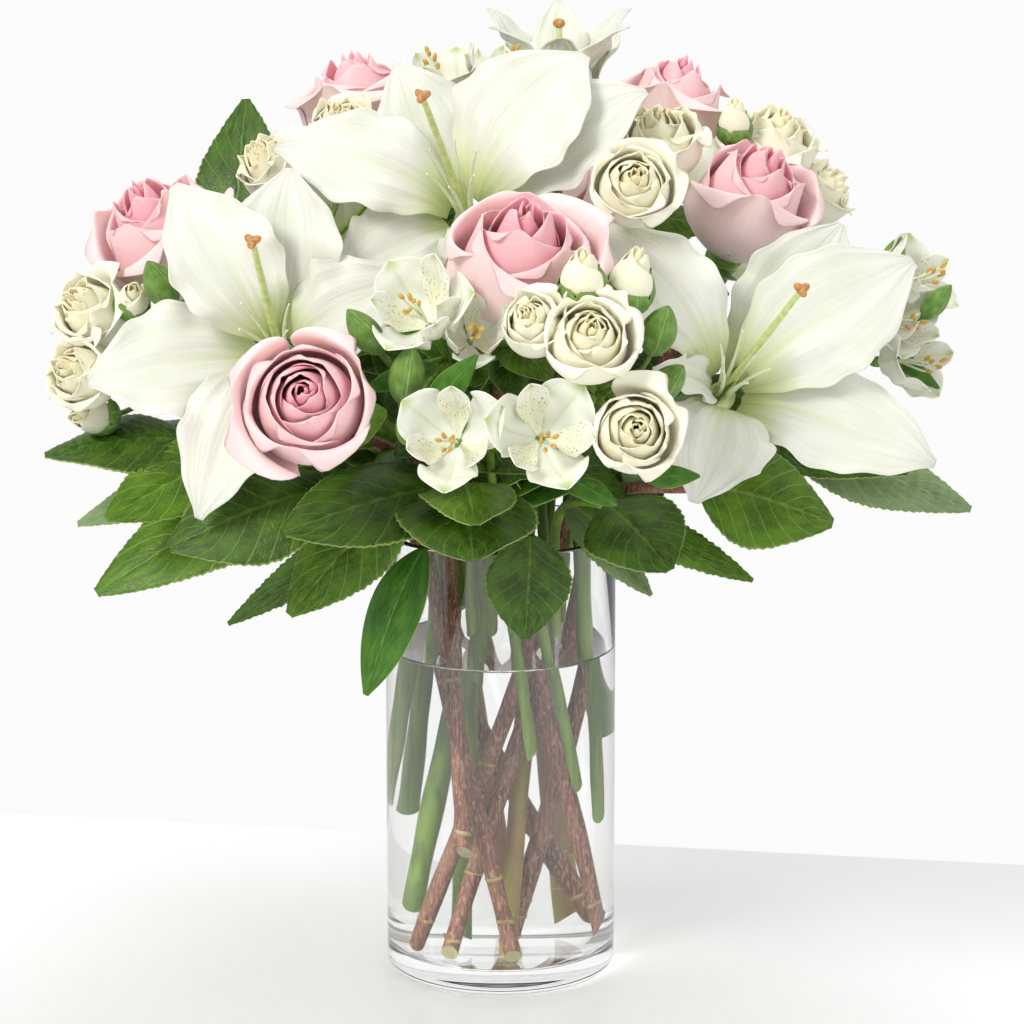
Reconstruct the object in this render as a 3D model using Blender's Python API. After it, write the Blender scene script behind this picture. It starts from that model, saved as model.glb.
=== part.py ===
"""Lilies in a vase: a glass cylinder of water holding lilies, roses, spray roses, alstroemeria and leaves.

Metres, +Z up. The origin is the centre of the vase's underside, and the bouquet's front faces -Y.
"""

import math

import bmesh
import bpy
from mathutils import Matrix, Vector

# Vase and water
VASE_RADIUS = 0.051
VASE_HEIGHT = 0.202
VASE_WALL = 0.0035
VASE_BASE = 0.011
HEEL_RADIUS = 0.006
RIM_RADIUS = 0.0012
WATER_LEVEL = 0.148
VASE_SEGMENTS = 40

# Clearances
GAP = 0.0003
STEM_TO_GLASS = 0.0012
LEAF_TO_GLASS = 0.012
LEAF_LEAN = 0.006

# Stems
WOODY_RADIUS = 0.0033
LILY_STEM_RADIUS = 0.0035
GREEN_RADIUS = 0.0025
TWIG_RADIUS = 0.0014
SHORT_STEM = 0.0448  # how far the flower stems that stay above the water reach into the vase
SHORT_TWIG = 0.0418  # the same for the leafy twigs
STEM_SIDES = 6
STEM_RINGS = 5
STEM_TAPER = 0.35  # share of its radius a stem loses from foot to head
CUT_SLOPE = 0.4  # height of a slanted foot above the floor, in stem radii
RIM_PULL = 0.38  # how long a stem keeps its direction past the rim, as a share of the way left
HEAD_PULL = 0.34  # how early it turns into its head's direction
FORK_PULL = 0.35  # the same for a branchlet, at both of its ends

# Lilies
PETAL_THICKNESS = 0.0014
FUNNEL_DEPTH = 0.026
FUNNEL_RADIUS = 0.0085
INNER_STEP = 0.0050
INNER_ARCH = 0.055
PETAL_CUP = 0.10
PISTIL_RADIUS = 0.0016
STIGMA_RADIUS = 0.0034
STIGMA_STEP = 0.001
FILAMENT_LENGTH = 0.054
FILAMENT_RADIUS = 0.0009
FILAMENT_SPREAD = 0.20
FILAMENT_RING = 0.0036
RECEPTACLE_RADIUS = 0.0064
RECEPTACLE_LENGTH = 0.018
RECEPTACLE_RISE = 0.002
RECEPTACLE_FOOT = 0.0026
WIDE_RECEPTACLE_RADIUS = 0.0105
WIDE_RECEPTACLE_RISE = 0.011
WIDE_RECEPTACLE_FOOT = 0.004
WIDE_PETAL_RING = 0.006
WIDE_PETAL_STEP = 0.002
WIDE_PETAL_ARCH = 0.12
OVERLAP = 0.003  # how far one part of a solid runs into the next
PETAL_TURN = 0.37  # share of a sixth of a turn by which petals and filaments are turned on their stem

# Roses and small heads
SEAT_SHARE = 0.42  # a rose's stem runs in up to this share of its height below the centre
HEAD_SHARE = 0.45  # the same for a branchlet and its head
ROSE_LOBES = 0.05

# Leaves
LEAF_THICKNESS = 0.0011
LEAF_CUP = -0.12

TOP = Vector((0, 0, VASE_HEIGHT))
FLOOR = VASE_BASE
INNER_RADIUS = VASE_RADIUS - VASE_WALL
SHORT_STEM_LIFT = VASE_HEIGHT - FLOOR - STEM_TO_GLASS - SHORT_STEM
SHORT_TWIG_LIFT = VASE_HEIGHT - FLOOR - STEM_TO_GLASS - SHORT_TWIG

COLOURS = {
    "glass": ((0.86, 0.92, 0.92), 0.03),
    "water": ((0.80, 0.90, 0.92), 0.03),
    "lily": ((0.93, 0.94, 0.88), 0.5),
    "pistil": ((0.72, 0.80, 0.42), 0.5),
    "rose": ((0.93, 0.66, 0.71), 0.55),
    "cream_rose": ((0.92, 0.90, 0.74), 0.55),
    "alstroemeria": ((0.90, 0.91, 0.80), 0.5),
    "leaf": ((0.11, 0.25, 0.05), 0.4),
    "woody_stem": ((0.38, 0.20, 0.13), 0.6),
}


def clear_scene():
    for existing in list(bpy.data.objects):
        bpy.data.objects.remove(existing)


def material(name):
    """One Principled material for each colour name, made once."""
    found = bpy.data.materials.get(name)
    if found:
        return found
    made = bpy.data.materials.new(name)
    made.use_nodes = True
    colour, roughness = COLOURS[name]
    shader = made.node_tree.nodes["Principled BSDF"]
    shader.inputs["Base Color"].default_value = (*colour, 1)
    shader.inputs["Roughness"].default_value = roughness
    shader.inputs["Metallic"].default_value = 0
    return made


def new_object(name, bm, material_name):
    """An object from a bmesh, with its faces pointing out."""
    bmesh.ops.recalc_face_normals(bm, faces=bm.faces)
    mesh = bpy.data.meshes.new(name)
    bm.to_mesh(mesh)
    bm.free()
    mesh.materials.append(material(material_name))
    mesh.shade_smooth()
    made = bpy.data.objects.new(name, mesh)
    bpy.context.collection.objects.link(made)
    return made


def bake(piece):
    """Applies the piece's modifiers."""
    bpy.context.view_layer.update()
    evaluated = piece.evaluated_get(bpy.context.evaluated_depsgraph_get())
    baked = bpy.data.meshes.new_from_object(evaluated)
    piece.modifiers.clear()
    piece.data = baked


def boolean(target, tool, operation, solver="EXACT"):
    """Applies one Boolean and removes its tool."""
    modifier = target.modifiers.new(operation.lower(), "BOOLEAN")
    modifier.operation = operation
    modifier.object = tool
    modifier.solver = solver
    tool.hide_render = True
    tool.display_type = "WIRE"
    bake(target)
    bpy.data.objects.remove(tool)


def unite(pieces):
    """Unites the pieces into the first one, as one closed body.

    Petals, heads and branchlets cross at shallow angles, where the exact solver leaves open slivers.
    """
    body = pieces[0]
    for piece in pieces[1:]:
        boolean(body, piece, "UNION", "MANIFOLD")
    return body


def turned(name, profile, segments, material_name):
    """Turns a closed (radius, height) outline about Z."""
    bm = bmesh.new()
    corners = [bm.verts.new((radius, 0, height)) for radius, height in profile]
    edges = [bm.edges.new((corners[i], corners[(i + 1) % len(corners)])) for i in range(len(corners))]
    bmesh.ops.spin(
        bm, geom=corners + edges, cent=(0, 0, 0), axis=(0, 0, 1), angle=math.tau, steps=segments
    )
    bmesh.ops.remove_doubles(bm, verts=bm.verts, dist=0.00001)
    loose = [edge for edge in bm.edges if not edge.link_faces]
    bmesh.ops.delete(bm, geom=loose, context="EDGES")
    return new_object(name, bm, material_name)


def quarter(centre_r, centre_h, radius, start, steps):
    """Points along a quarter round in an outline, from the angle start, turning left."""
    angles = [start + math.pi / 2 * step / steps for step in range(steps + 1)]
    return [(centre_r + radius * math.cos(a), centre_h + radius * math.sin(a)) for a in angles]


def tube(name, points, radii, sides, material_name):
    """A closed round tube through the points, its rings carried along without twist."""
    bm = bmesh.new()
    rings = []
    along = (points[1] - points[0]).normalized()
    across = along.orthogonal().normalized()
    for index, (point, radius) in enumerate(zip(points, radii)):
        before = points[max(index - 1, 0)]
        after = points[min(index + 1, len(points) - 1)]
        along = (after - before).normalized()
        across = (across - along * across.dot(along)).normalized()
        other = along.cross(across)
        angles = [math.tau * side / sides for side in range(sides)]
        ring = [bm.verts.new(point + radius * (across * math.cos(a) + other * math.sin(a))) for a in angles]
        rings.append(ring)
    for lower, upper in zip(rings, rings[1:]):
        for side in range(sides):
            following = (side + 1) % sides
            bm.faces.new((lower[side], lower[following], upper[following], upper[side]))
    bm.faces.new(list(reversed(rings[0])))
    bm.faces.new(rings[-1])
    return new_object(name, bm, material_name)


def bezier(start, start_pull, end_pull, end, steps):
    """Points of a cubic curve from start to end, both ends included."""
    points = []
    for step in range(steps + 1):
        t = step / steps
        s = 1 - t
        points.append(start * s**3 + start_pull * 3 * s * s * t + end_pull * 3 * s * t * t + end * t**3)
    return points


def inside_point(spot, height, radius):
    """A point inside the vase. spot is (x, y) on a circle of radius 1 that stands for the free room."""
    reach = INNER_RADIUS - STEM_TO_GLASS - radius
    return Vector((spot[0] * reach, spot[1] * reach, height))


def above_rim(x, y, z):
    """A point of the bouquet, given from the centre of the rim. Its place follows the vase's height."""
    return TOP + Vector((x, y, z))


def stem_line(foot, lift, rim, radius):
    """The straight stretch of a stem in the vase: its foot and where it passes the rim."""
    bottom = inside_point(foot, FLOOR + STEM_TO_GLASS + lift + radius * CUT_SLOPE, radius)
    return bottom, inside_point(rim, VASE_HEIGHT, radius)


def stem_points(line, end, facing):
    """The stem's whole route: straight in the vase, then a curve that meets the bloom from behind."""
    bottom, rim = line
    reach = (end - rim).length
    along = (rim - bottom).normalized()
    curve = bezier(rim, rim + along * reach * RIM_PULL, end - facing * reach * HEAD_PULL, end, STEM_RINGS)
    return [bottom] + curve


def blade(name, base, tip, face, arch, width, cup, outline, thickness, steps, material_name, widths=4):
    """A thin leaf or petal from base to tip, its upper side towards face.

    arch lifts its middle towards face, as a share of its length. cup lifts its edges. outline gives the
    half width at a share of the length, as a share of the widest.
    """
    bm = bmesh.new()
    bmesh.ops.create_grid(bm, x_segments=steps, y_segments=widths, size=0.5)
    chord = tip - base
    side = chord.cross(face).normalized()
    up = side.cross(chord).normalized()
    for vert in bm.verts:
        s = vert.co.x + 0.5
        w = vert.co.y * 2
        half = width / 2 * outline(s)
        centre = base + chord * s + up * chord.length * arch * math.sin(math.pi * s**0.75)
        vert.co = centre + side * half * w + up * cup * half * w * w
    piece = new_object(name, bm, material_name)
    modifier = piece.modifiers.new("thickness", "SOLIDIFY")
    modifier.thickness = thickness
    modifier.offset = 0
    bake(piece)
    return piece


def petal_outline(s):
    """A lily petal: narrow at the base, widest past the middle, with a blunt point."""
    return 0.16 * (1 - s) + math.sin(math.pi * min(s, 0.985) ** 1.15) ** 0.8 * 0.98


def leaf_outline(s):
    """An oval leaf: widest before the middle, with a drawn-out point."""
    return 0.07 + 0.93 * math.sin(math.pi * min(s, 0.99) ** 0.85) ** 0.9


def bloom(name, centre, facing, radius, height, lobes, spread, material_name, sides=10):
    """A closed cup-shaped flower head, lobed at the rim. spread is (share of height, share of radius)."""
    bm = bmesh.new()
    turn = facing.to_track_quat("Z", "Y").to_matrix()
    rings = []
    for share_h, share_r in spread:
        ring = []
        for side in range(sides):
            angle = math.tau * side / sides
            lobe = 1 - lobes * share_r * (side % 2)
            out = radius * share_r * lobe
            local = Vector((out * math.cos(angle), out * math.sin(angle), height * (share_h - 0.5)))
            ring.append(bm.verts.new(centre + turn @ local))
        rings.append(ring)
    for lower, upper in zip(rings, rings[1:]):
        for side in range(sides):
            following = (side + 1) % sides
            bm.faces.new((lower[side], lower[following], upper[following], upper[side]))
    bm.faces.new(list(reversed(rings[0])))
    bm.faces.new(rings[-1])
    return new_object(name, bm, material_name)


ROSE_SPREAD = ((0, 0.14), (0.12, 0.58), (0.34, 0.9), (0.66, 1.0), (0.9, 0.92), (1.0, 0.66), (0.93, 0.25))
BUD_SPREAD = ((0, 0.2), (0.3, 0.95), (0.6, 0.9), (1.0, 0.3))
STAR_SPREAD = ((0, 0.12), (0.35, 0.26), (0.8, 0.72), (1.0, 1.0), (0.93, 0.72), (0.62, 0.12))


def vase():
    outer = [(0, 0), (VASE_RADIUS - HEEL_RADIUS, 0)]
    outer += quarter(VASE_RADIUS - HEEL_RADIUS, HEEL_RADIUS, HEEL_RADIUS, -math.pi / 2, 3)[1:]
    outer += quarter(VASE_RADIUS - RIM_RADIUS, VASE_HEIGHT - RIM_RADIUS, RIM_RADIUS, 0, 2)
    outer += quarter(INNER_RADIUS + RIM_RADIUS, VASE_HEIGHT - RIM_RADIUS, RIM_RADIUS, math.pi / 2, 2)
    outer += [(INNER_RADIUS, FLOOR + RIM_RADIUS), (INNER_RADIUS - RIM_RADIUS, FLOOR), (0, FLOOR)]
    return turned("vase", outer, VASE_SEGMENTS, "glass")


def water(lines):
    """The water, with an open channel for every stem that stands in it."""
    radius = INNER_RADIUS - GAP
    low = FLOOR + GAP
    outline = [(0, low), (radius - RIM_RADIUS, low), (radius, low + RIM_RADIUS)]
    outline += [(radius, WATER_LEVEL), (0, WATER_LEVEL)]
    body = turned("water", outline, VASE_SEGMENTS, "water")
    for (bottom, rim), thick in lines:
        if bottom.z > WATER_LEVEL:
            continue
        along = (rim - bottom).normalized()
        channel = tube("channel", [bottom - along * GAP, rim], [thick + GAP] * 2, STEM_SIDES, "water")
        boolean(body, channel, "DIFFERENCE")
    return body


# Every stem: foot spot, lift of the foot above the vase's floor, rim spot, radius. Short stems end above the
# water, between the long ones.
STEMS = {
    "rose_left": ((0.12, -0.64), 0, (-0.80, -0.35), WOODY_RADIUS),
    "rose_right": ((0.06, 0.13), 0, (0.97, 0.03), WOODY_RADIUS),
    "rose_front": ((0.84, -0.10), 0.006, (0.02, -0.26), WOODY_RADIUS),
    "rose_front_left": ((-0.34, -0.84), 0.050, (-0.52, -0.72), WOODY_RADIUS),
    "rose_back_left": ((0.05, 0.88), 0.004, (-0.36, 0.80), WOODY_RADIUS),
    "rose_back_right": ((0.06, -0.38), 0, (0.27, 0.71), WOODY_RADIUS),
    "rose_rear": ((0.40, 0.72), 0.004, (0.12, 0.90), WOODY_RADIUS),
    "lily_top": ((-0.30, 0.06), 0.004, (-0.22, -0.02), LILY_STEM_RADIUS),
    "lily_left": ((-0.86, 0.30), 0.060, (-0.60, -0.18), LILY_STEM_RADIUS),
    "lily_right": ((0.90, -0.30), 0.060, (0.82, -0.50), LILY_STEM_RADIUS),
    "lily_back": ((-0.66, 0.16), 0.014, (0.02, 0.70), LILY_STEM_RADIUS),
    "lily_rear": ((-0.60, 0.64), SHORT_STEM_LIFT, (-0.64, 0.68), LILY_STEM_RADIUS),
    "spray_front": ((0.72, -0.62), 0.078, (0.25, -0.85), GREEN_RADIUS),
    "spray_upper_left": ((-0.56, 0.56), 0.055, (-0.42, 0.42), GREEN_RADIUS),
    "spray_upper_right": ((0.60, 0.60), 0.090, (0.42, 0.52), GREEN_RADIUS),
    "spray_right": ((0.24, 0.18), SHORT_STEM_LIFT, (0.30, 0.20), GREEN_RADIUS),
    "spray_left": ((-0.70, 0.42), SHORT_STEM_LIFT, (-0.76, 0.44), GREEN_RADIUS),
    "spray_rear": ((0.64, 0.64), SHORT_STEM_LIFT, (0.68, 0.66), GREEN_RADIUS),
    "alstroemeria_front": ((0.30, -0.86), 0.095, (0.02, -0.86), GREEN_RADIUS),
    "alstroemeria_middle": ((-0.20, -0.36), 0.125, (-0.16, -0.44), GREEN_RADIUS),
    "alstroemeria_right": ((0.60, -0.16), SHORT_STEM_LIFT, (0.68, -0.20), GREEN_RADIUS),
    "alstroemeria_top": ((-0.02, 0.26), SHORT_STEM_LIFT, (-0.02, 0.30), GREEN_RADIUS),
    "salal_right": ((-0.72, -0.22), 0, (0.60, -0.50), WOODY_RADIUS),
    "salal_far_right": ((-0.46, -0.52), 0, (0.74, 0.35), WOODY_RADIUS),
    "salal_left": ((0.62, 0.42), 0.006, (-0.92, 0.12), WOODY_RADIUS),
    "salal_front": ((-0.08, -0.62), SHORT_TWIG_LIFT, (-0.12, -0.66), GREEN_RADIUS),
    "salal_lower_left": ((-0.28, -0.62), SHORT_TWIG_LIFT, (-0.32, -0.66), GREEN_RADIUS),
    "salal_lower_right": ((0.54, -0.58), SHORT_TWIG_LIFT, (0.54, -0.72), GREEN_RADIUS),
    "salal_top_left": ((-0.38, 0.14), SHORT_TWIG_LIFT, (-0.42, 0.14), GREEN_RADIUS),
    "salal_rear_left": ((-0.12, 0.88), SHORT_TWIG_LIFT, (-0.12, 0.93), GREEN_RADIUS),
    "salal_rear_right": ((0.46, 0.74), SHORT_TWIG_LIFT, (0.50, 0.76), GREEN_RADIUS),
}


def path_of(name, end, facing):
    """The route and radius of the named stem up to the point end."""
    foot, lift, rim, radius = STEMS[name]
    return stem_points(stem_line(foot, lift, rim, radius), end, facing), radius


def stem(name, end, facing, material_name="woody_stem"):
    points, radius = path_of(name, end, facing)
    radii = [radius * (1 - STEM_TAPER * i / (len(points) - 1)) for i in range(len(points))]
    radii[1] = radius
    return tube(name, points, radii, STEM_SIDES, material_name)


def recolour(body, material_name):
    body.data.materials.clear()
    body.data.materials.append(material(material_name))


def rose(name, centre, facing, radius, height):
    """A large rose: one solid of stem, sepals' cup and bloom."""
    facing = Vector(facing).normalized()
    middle = above_rim(*centre)
    head = bloom(name + "_head", middle, facing, radius, height, ROSE_LOBES, ROSE_SPREAD, "rose")
    body = unite([stem(name, middle - facing * height * SEAT_SHARE, facing), head])
    recolour(body, "rose")


def lily(name, throat, facing, stigma, first_inner, tips):
    """A lily: six petals, and a centre of stem, receptacle, pistil and filaments.

    stigma is the pistil's tip, and tips holds each petal's tip, its width and its arch, all counted from the
    throat. Every second petal, from first_inner on, is an inner one, and stands a step higher in the funnel.
    """
    facing = Vector(facing).normalized()
    middle = above_rim(*throat)
    seat = middle - facing * FUNNEL_DEPTH
    for index, (tip, width, arch) in enumerate(tips):
        tip = middle + Vector(tip)
        outward = tip - middle
        outward = (outward - facing * outward.dot(facing)).normalized()
        inner = index % 2 == first_inner
        step = INNER_STEP * inner
        arch += INNER_ARCH if inner else -INNER_ARCH
        base = seat + outward * FUNNEL_RADIUS + facing * step
        blade(
            f"{name}_petal_{index + 1}", base, tip, facing, arch, width, PETAL_CUP, petal_outline,
            PETAL_THICKNESS, 6, "lily", 2,
        )
    lily_centre(name, seat, facing, middle + Vector(stigma))


def lily_centre(name, seat, facing, stigma):
    """Stem, receptacle, pistil with its three-lobed tip, and six filaments, as one solid."""
    low = seat - facing * (RECEPTACLE_LENGTH - RECEPTACLE_RISE)
    pieces = [stem(name, low, facing, "pistil")]
    receptacle = [low - facing * OVERLAP, low + facing * RECEPTACLE_LENGTH]
    pieces.append(tube("receptacle", receptacle, [RECEPTACLE_FOOT, RECEPTACLE_RADIUS], 9, "pistil"))
    style = (stigma - seat).normalized()
    middle = (style + facing).normalized()
    across = style.orthogonal().normalized()
    other = style.cross(across)
    cap = stigma + style * STIGMA_RADIUS
    pieces.append(
        tube(
            "style",
            [seat - facing * OVERLAP, stigma - style * STIGMA_STEP, stigma + style * STIGMA_STEP, cap],
            [PISTIL_RADIUS, PISTIL_RADIUS, STIGMA_RADIUS, STIGMA_RADIUS * 0.7], 6, "pistil",
        )
    )
    for index in range(6):
        angle = math.tau * (index + PETAL_TURN) / 6
        outward = across * math.cos(angle) + other * math.sin(angle)
        start = seat + outward * FILAMENT_RING
        lean = (middle + outward * FILAMENT_SPREAD).normalized()
        points = [start, start + lean * FILAMENT_LENGTH]
        pieces.append(tube("filament", points, [FILAMENT_RADIUS, FILAMENT_RADIUS], 4, "pistil"))
    body = unite(pieces)
    body.name = name + "_centre"


def whole_lily(name, throat, facing, reach, rise, width):
    """A lily behind the others, petals and centre in one solid. rise lifts the tips over the throat."""
    facing = Vector(facing).normalized()
    middle = above_rim(*throat)
    seat = middle - facing * FUNNEL_DEPTH
    across = facing.orthogonal().normalized()
    other = facing.cross(across)
    pieces = [stem(name, seat, facing, "lily")]
    receptacle = [seat - facing * WIDE_RECEPTACLE_FOOT, seat + facing * WIDE_RECEPTACLE_RISE]
    pieces.append(tube("receptacle", receptacle, [WIDE_RECEPTACLE_FOOT, WIDE_RECEPTACLE_RADIUS], 9, "lily"))
    for index in range(6):
        angle = math.tau * (index + PETAL_TURN) / 6
        outward = across * math.cos(angle) + other * math.sin(angle)
        step = WIDE_PETAL_STEP * (0.5 + index % 2)
        base = seat + outward * WIDE_PETAL_RING + facing * step
        tip = middle + outward * reach + facing * rise
        pieces.append(
            blade(
                "petal", base, tip, facing, WIDE_PETAL_ARCH, width, PETAL_CUP, petal_outline,
                PETAL_THICKNESS, 5, "lily", 2,
            )
        )
    unite(pieces)


KINDS = {
    "cream_rose": (0.06, ROSE_SPREAD, 8),
    "bud": (0.04, BUD_SPREAD, 7),
    "star": (0.42, STAR_SPREAD, 12),
}


def cluster(name, fork, heads, material_name):
    """A forked stem with several heads, as one solid. heads: kind, centre, facing, radius, height."""
    fork = above_rim(*fork)
    middle = sum((above_rim(*head[1]) for head in heads), Vector()) / len(heads)
    pieces = [stem(name, fork, (middle - fork).normalized(), material_name)]
    for kind, centre, facing, radius, height in heads:
        facing = Vector(facing).normalized()
        centre = above_rim(*centre)
        lobes, spread, sides = KINDS[kind]
        foot = centre - facing * height * HEAD_SHARE
        pull = (foot - fork).length * FORK_PULL
        points = bezier(fork, fork + (foot - fork).normalized() * pull, foot - facing * pull, foot, 3)
        pieces.append(tube("branchlet", points, [TWIG_RADIUS] * len(points), 5, material_name))
        pieces.append(bloom("head", centre, facing, radius, height, lobes, spread, material_name, sides))
    unite(pieces)


def branch(name, end, facing, leaves):
    """A twig with its leaves, as one solid. leaves: ring of the twig, tip, width, arch, face."""
    end = above_rim(*end)
    facing = Vector(facing).normalized()
    points, _ = path_of(name, end, facing)
    pieces = [stem(name, end, facing)]
    for ring, tip, width, arch, face in leaves:
        base = points[ring]
        pieces.append(
            blade(
                "leaf", base, above_rim(*tip), Vector(face), arch, width, LEAF_CUP,
                leaf_outline, LEAF_THICKNESS, 6, "leaf", 2,
            )
        )
    unite(pieces)
    recolour(bpy.data.objects[name], "leaf")


UP = (0, -0.3, 1)


def roses():
    rose("rose_front_left", (-0.082, -0.150, 0.096), (-0.05, -0.93, 0.35), 0.032, 0.056)
    rose("rose_front", (0.017, -0.112, 0.166), (0.10, -0.55, 0.83), 0.033, 0.058)
    rose("rose_right", (0.117, -0.020, 0.158), (0.45, -0.25, 0.86), 0.031, 0.056)
    rose("rose_left", (-0.155, 0.0, 0.130), (-0.50, -0.15, 0.85), 0.029, 0.056)
    rose("rose_back_left", (-0.066, 0.062, 0.185), (-0.20, 0.10, 0.95), 0.028, 0.046)
    rose("rose_back_right", (0.078, 0.036, 0.187), (0.20, 0.10, 0.95), 0.025, 0.046)
    rose("rose_rear", (0.020, 0.128, 0.130), (0.05, 0.75, 0.65), 0.031, 0.056)


def lilies():
    lily(
        "lily_left", (-0.095, -0.090, 0.104), (-0.10, -0.86, 0.50), (-0.006, -0.045, 0.049), 1,
        (
            ((0.006, 0.028, 0.067), 0.050, 0.20),
            ((-0.042, 0.020, 0.061), 0.046, 0.20),
            ((-0.078, -0.005, -0.017), 0.050, 0.20),
            ((-0.031, -0.030, -0.071), 0.040, 0.18),
            ((0.018, 0.006, -0.036), 0.030, 0.20),
            ((0.058, 0.006, 0.023), 0.042, 0.20),
        ),
    )
    lily(
        "lily_top", (-0.017, -0.052, 0.159), (-0.12, -0.78, 0.61), (-0.015, -0.045, 0.048), 0,
        (
            ((0.053, 0.028, 0.056), 0.056, 0.20),
            ((-0.027, 0.033, 0.050), 0.042, 0.20),
            ((-0.079, 0.012, 0.019), 0.044, 0.20),
            ((-0.051, -0.022, -0.034), 0.042, 0.20),
            ((0.012, -0.022, -0.034), 0.030, 0.20),
            ((0.079, 0.018, 0.042), 0.046, 0.20),
        ),
    )
    lily(
        "lily_right", (0.098, -0.090, 0.087), (0.15, -0.85, 0.50), (0.033, -0.040, 0.050), 0,
        (
            ((0.077, 0.020, 0.047), 0.054, 0.14),
            ((0.048, 0.040, 0.058), 0.044, 0.18),
            ((-0.054, 0.030, 0.060), 0.040, 0.22),
            ((-0.032, -0.025, 0.010), 0.018, 0.20),
            ((-0.016, -0.025, -0.047), 0.048, 0.20),
            ((0.085, -0.012, -0.033), 0.044, 0.20),
        ),
    )
    whole_lily("lily_back", (0.026, 0.062, 0.186), (0.0, -0.10, 0.99), 0.032, 0.034, 0.020)
    whole_lily("lily_rear", (-0.075, 0.128, 0.110), (-0.35, 0.70, 0.62), 0.070, -0.008, 0.044)


def spray_roses():
    """The cream roses on forked stems. Each head: kind, centre, facing, radius, height."""
    cluster(
        "spray_front", (0.040, -0.110, 0.085),
        (
            ("cream_rose", (0.062, -0.170, 0.087), (0.10, -0.93, 0.35), 0.0195, 0.034),
            ("cream_rose", (0.042, -0.165, 0.125), (0.10, -0.80, 0.60), 0.0205, 0.034),
            ("cream_rose", (0.015, -0.158, 0.128), (-0.20, -0.75, 0.62), 0.0145, 0.030),
            ("bud", (0.040, -0.150, 0.1485), (0.0, -0.30, 0.95), 0.0120, 0.026),
            ("bud", (0.0616, -0.140, 0.1447), (0.20, -0.30, 0.93), 0.0120, 0.030),
        ),
        "cream_rose",
    )
    cluster(
        "spray_upper_right", (0.062, -0.030, 0.130),
        (
            ("cream_rose", (0.073, -0.012, 0.183), (-0.10, -0.40, 0.91), 0.0205, 0.036),
            ("cream_rose", (0.060, -0.072, 0.171), (0.05, -0.80, 0.60), 0.0200, 0.030),
        ),
        "cream_rose",
    )
    cluster(
        "spray_right", (0.100, 0.020, 0.110),
        (
            ("cream_rose", (0.128, 0.029, 0.181), (0.25, -0.30, 0.92), 0.0200, 0.036),
            ("cream_rose", (0.143, 0.034, 0.148), (0.75, -0.20, 0.62), 0.0165, 0.032),
            ("bud", (0.104, 0.004, 0.192), (0.0, -0.20, 0.97), 0.0090, 0.022),
        ),
        "cream_rose",
    )
    cluster(
        "spray_upper_left", (-0.080, 0.0, 0.120),
        (
            ("cream_rose", (-0.103, 0.008, 0.1625), (-0.45, -0.50, 0.74), 0.0170, 0.034),
            ("cream_rose", (-0.073, 0.008, 0.183), (-0.10, -0.60, 0.80), 0.0150, 0.028),
            ("cream_rose", (-0.050, 0.004, 0.180), (0.0, -0.60, 0.80), 0.0120, 0.026),
        ),
        "cream_rose",
    )
    cluster(
        "spray_left", (-0.135, 0.0, 0.075),
        (
            ("cream_rose", (-0.181, -0.028, 0.105), (-0.55, -0.60, 0.58), 0.0185, 0.036),
            ("cream_rose", (-0.186, -0.040, 0.081), (-0.55, -0.70, 0.40), 0.0165, 0.034),
            ("bud", (-0.182, -0.034, 0.062), (-0.50, -0.60, 0.10), 0.0100, 0.026),
            ("bud", (-0.166, -0.040, 0.112), (0.10, -0.70, 0.70), 0.0090, 0.022),
        ),
        "cream_rose",
    )
    cluster(
        "spray_rear", (0.075, 0.080, 0.100),
        (
            ("cream_rose", (0.086, 0.118, 0.140), (0.40, 0.70, 0.60), 0.0195, 0.036),
            ("cream_rose", (0.110, 0.092, 0.108), (0.70, 0.50, 0.50), 0.0180, 0.034),
        ),
        "cream_rose",
    )


def alstroemerias():
    """The small white alstroemeria on forked stems. Each head: kind, centre, facing, radius, height."""
    cluster(
        "alstroemeria_front", (-0.004, -0.110, 0.060),
        (
            ("star", (-0.019, -0.165, 0.078), (-0.15, -0.90, 0.40), 0.0215, 0.028),
            ("star", (0.018, -0.168, 0.080), (0.10, -0.92, 0.38), 0.0230, 0.028),
        ),
        "alstroemeria",
    )
    cluster(
        "alstroemeria_middle", (-0.022, -0.090, 0.095),
        (
            ("star", (-0.033, -0.138, 0.133), (-0.20, -0.75, 0.63), 0.0220, 0.030),
            ("star", (-0.011, -0.140, 0.116), (0.10, -0.85, 0.50), 0.0155, 0.026),
            ("bud", (-0.036, -0.150, 0.098), (-0.20, -0.90, 0.30), 0.0080, 0.022),
        ),
        "alstroemeria",
    )
    cluster(
        "alstroemeria_right", (0.150, -0.020, 0.085),
        (
            ("star", (0.190, -0.014, 0.120), (0.70, -0.35, 0.62), 0.0200, 0.028),
            ("star", (0.186, -0.036, 0.088), (0.80, -0.55, 0.22), 0.0190, 0.028),
            ("star", (0.178, 0.014, 0.098), (0.80, 0.30, 0.50), 0.0190, 0.028),
        ),
        "alstroemeria",
    )
    cluster(
        "alstroemeria_top", (-0.016, 0.030, 0.150),
        (
            ("star", (-0.024, 0.018, 0.206), (-0.25, -0.20, 0.94), 0.0190, 0.030),
            ("star", (0.000, 0.012, 0.208), (0.20, -0.10, 0.97), 0.0170, 0.028),
        ),
        "alstroemeria",
    )


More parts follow.
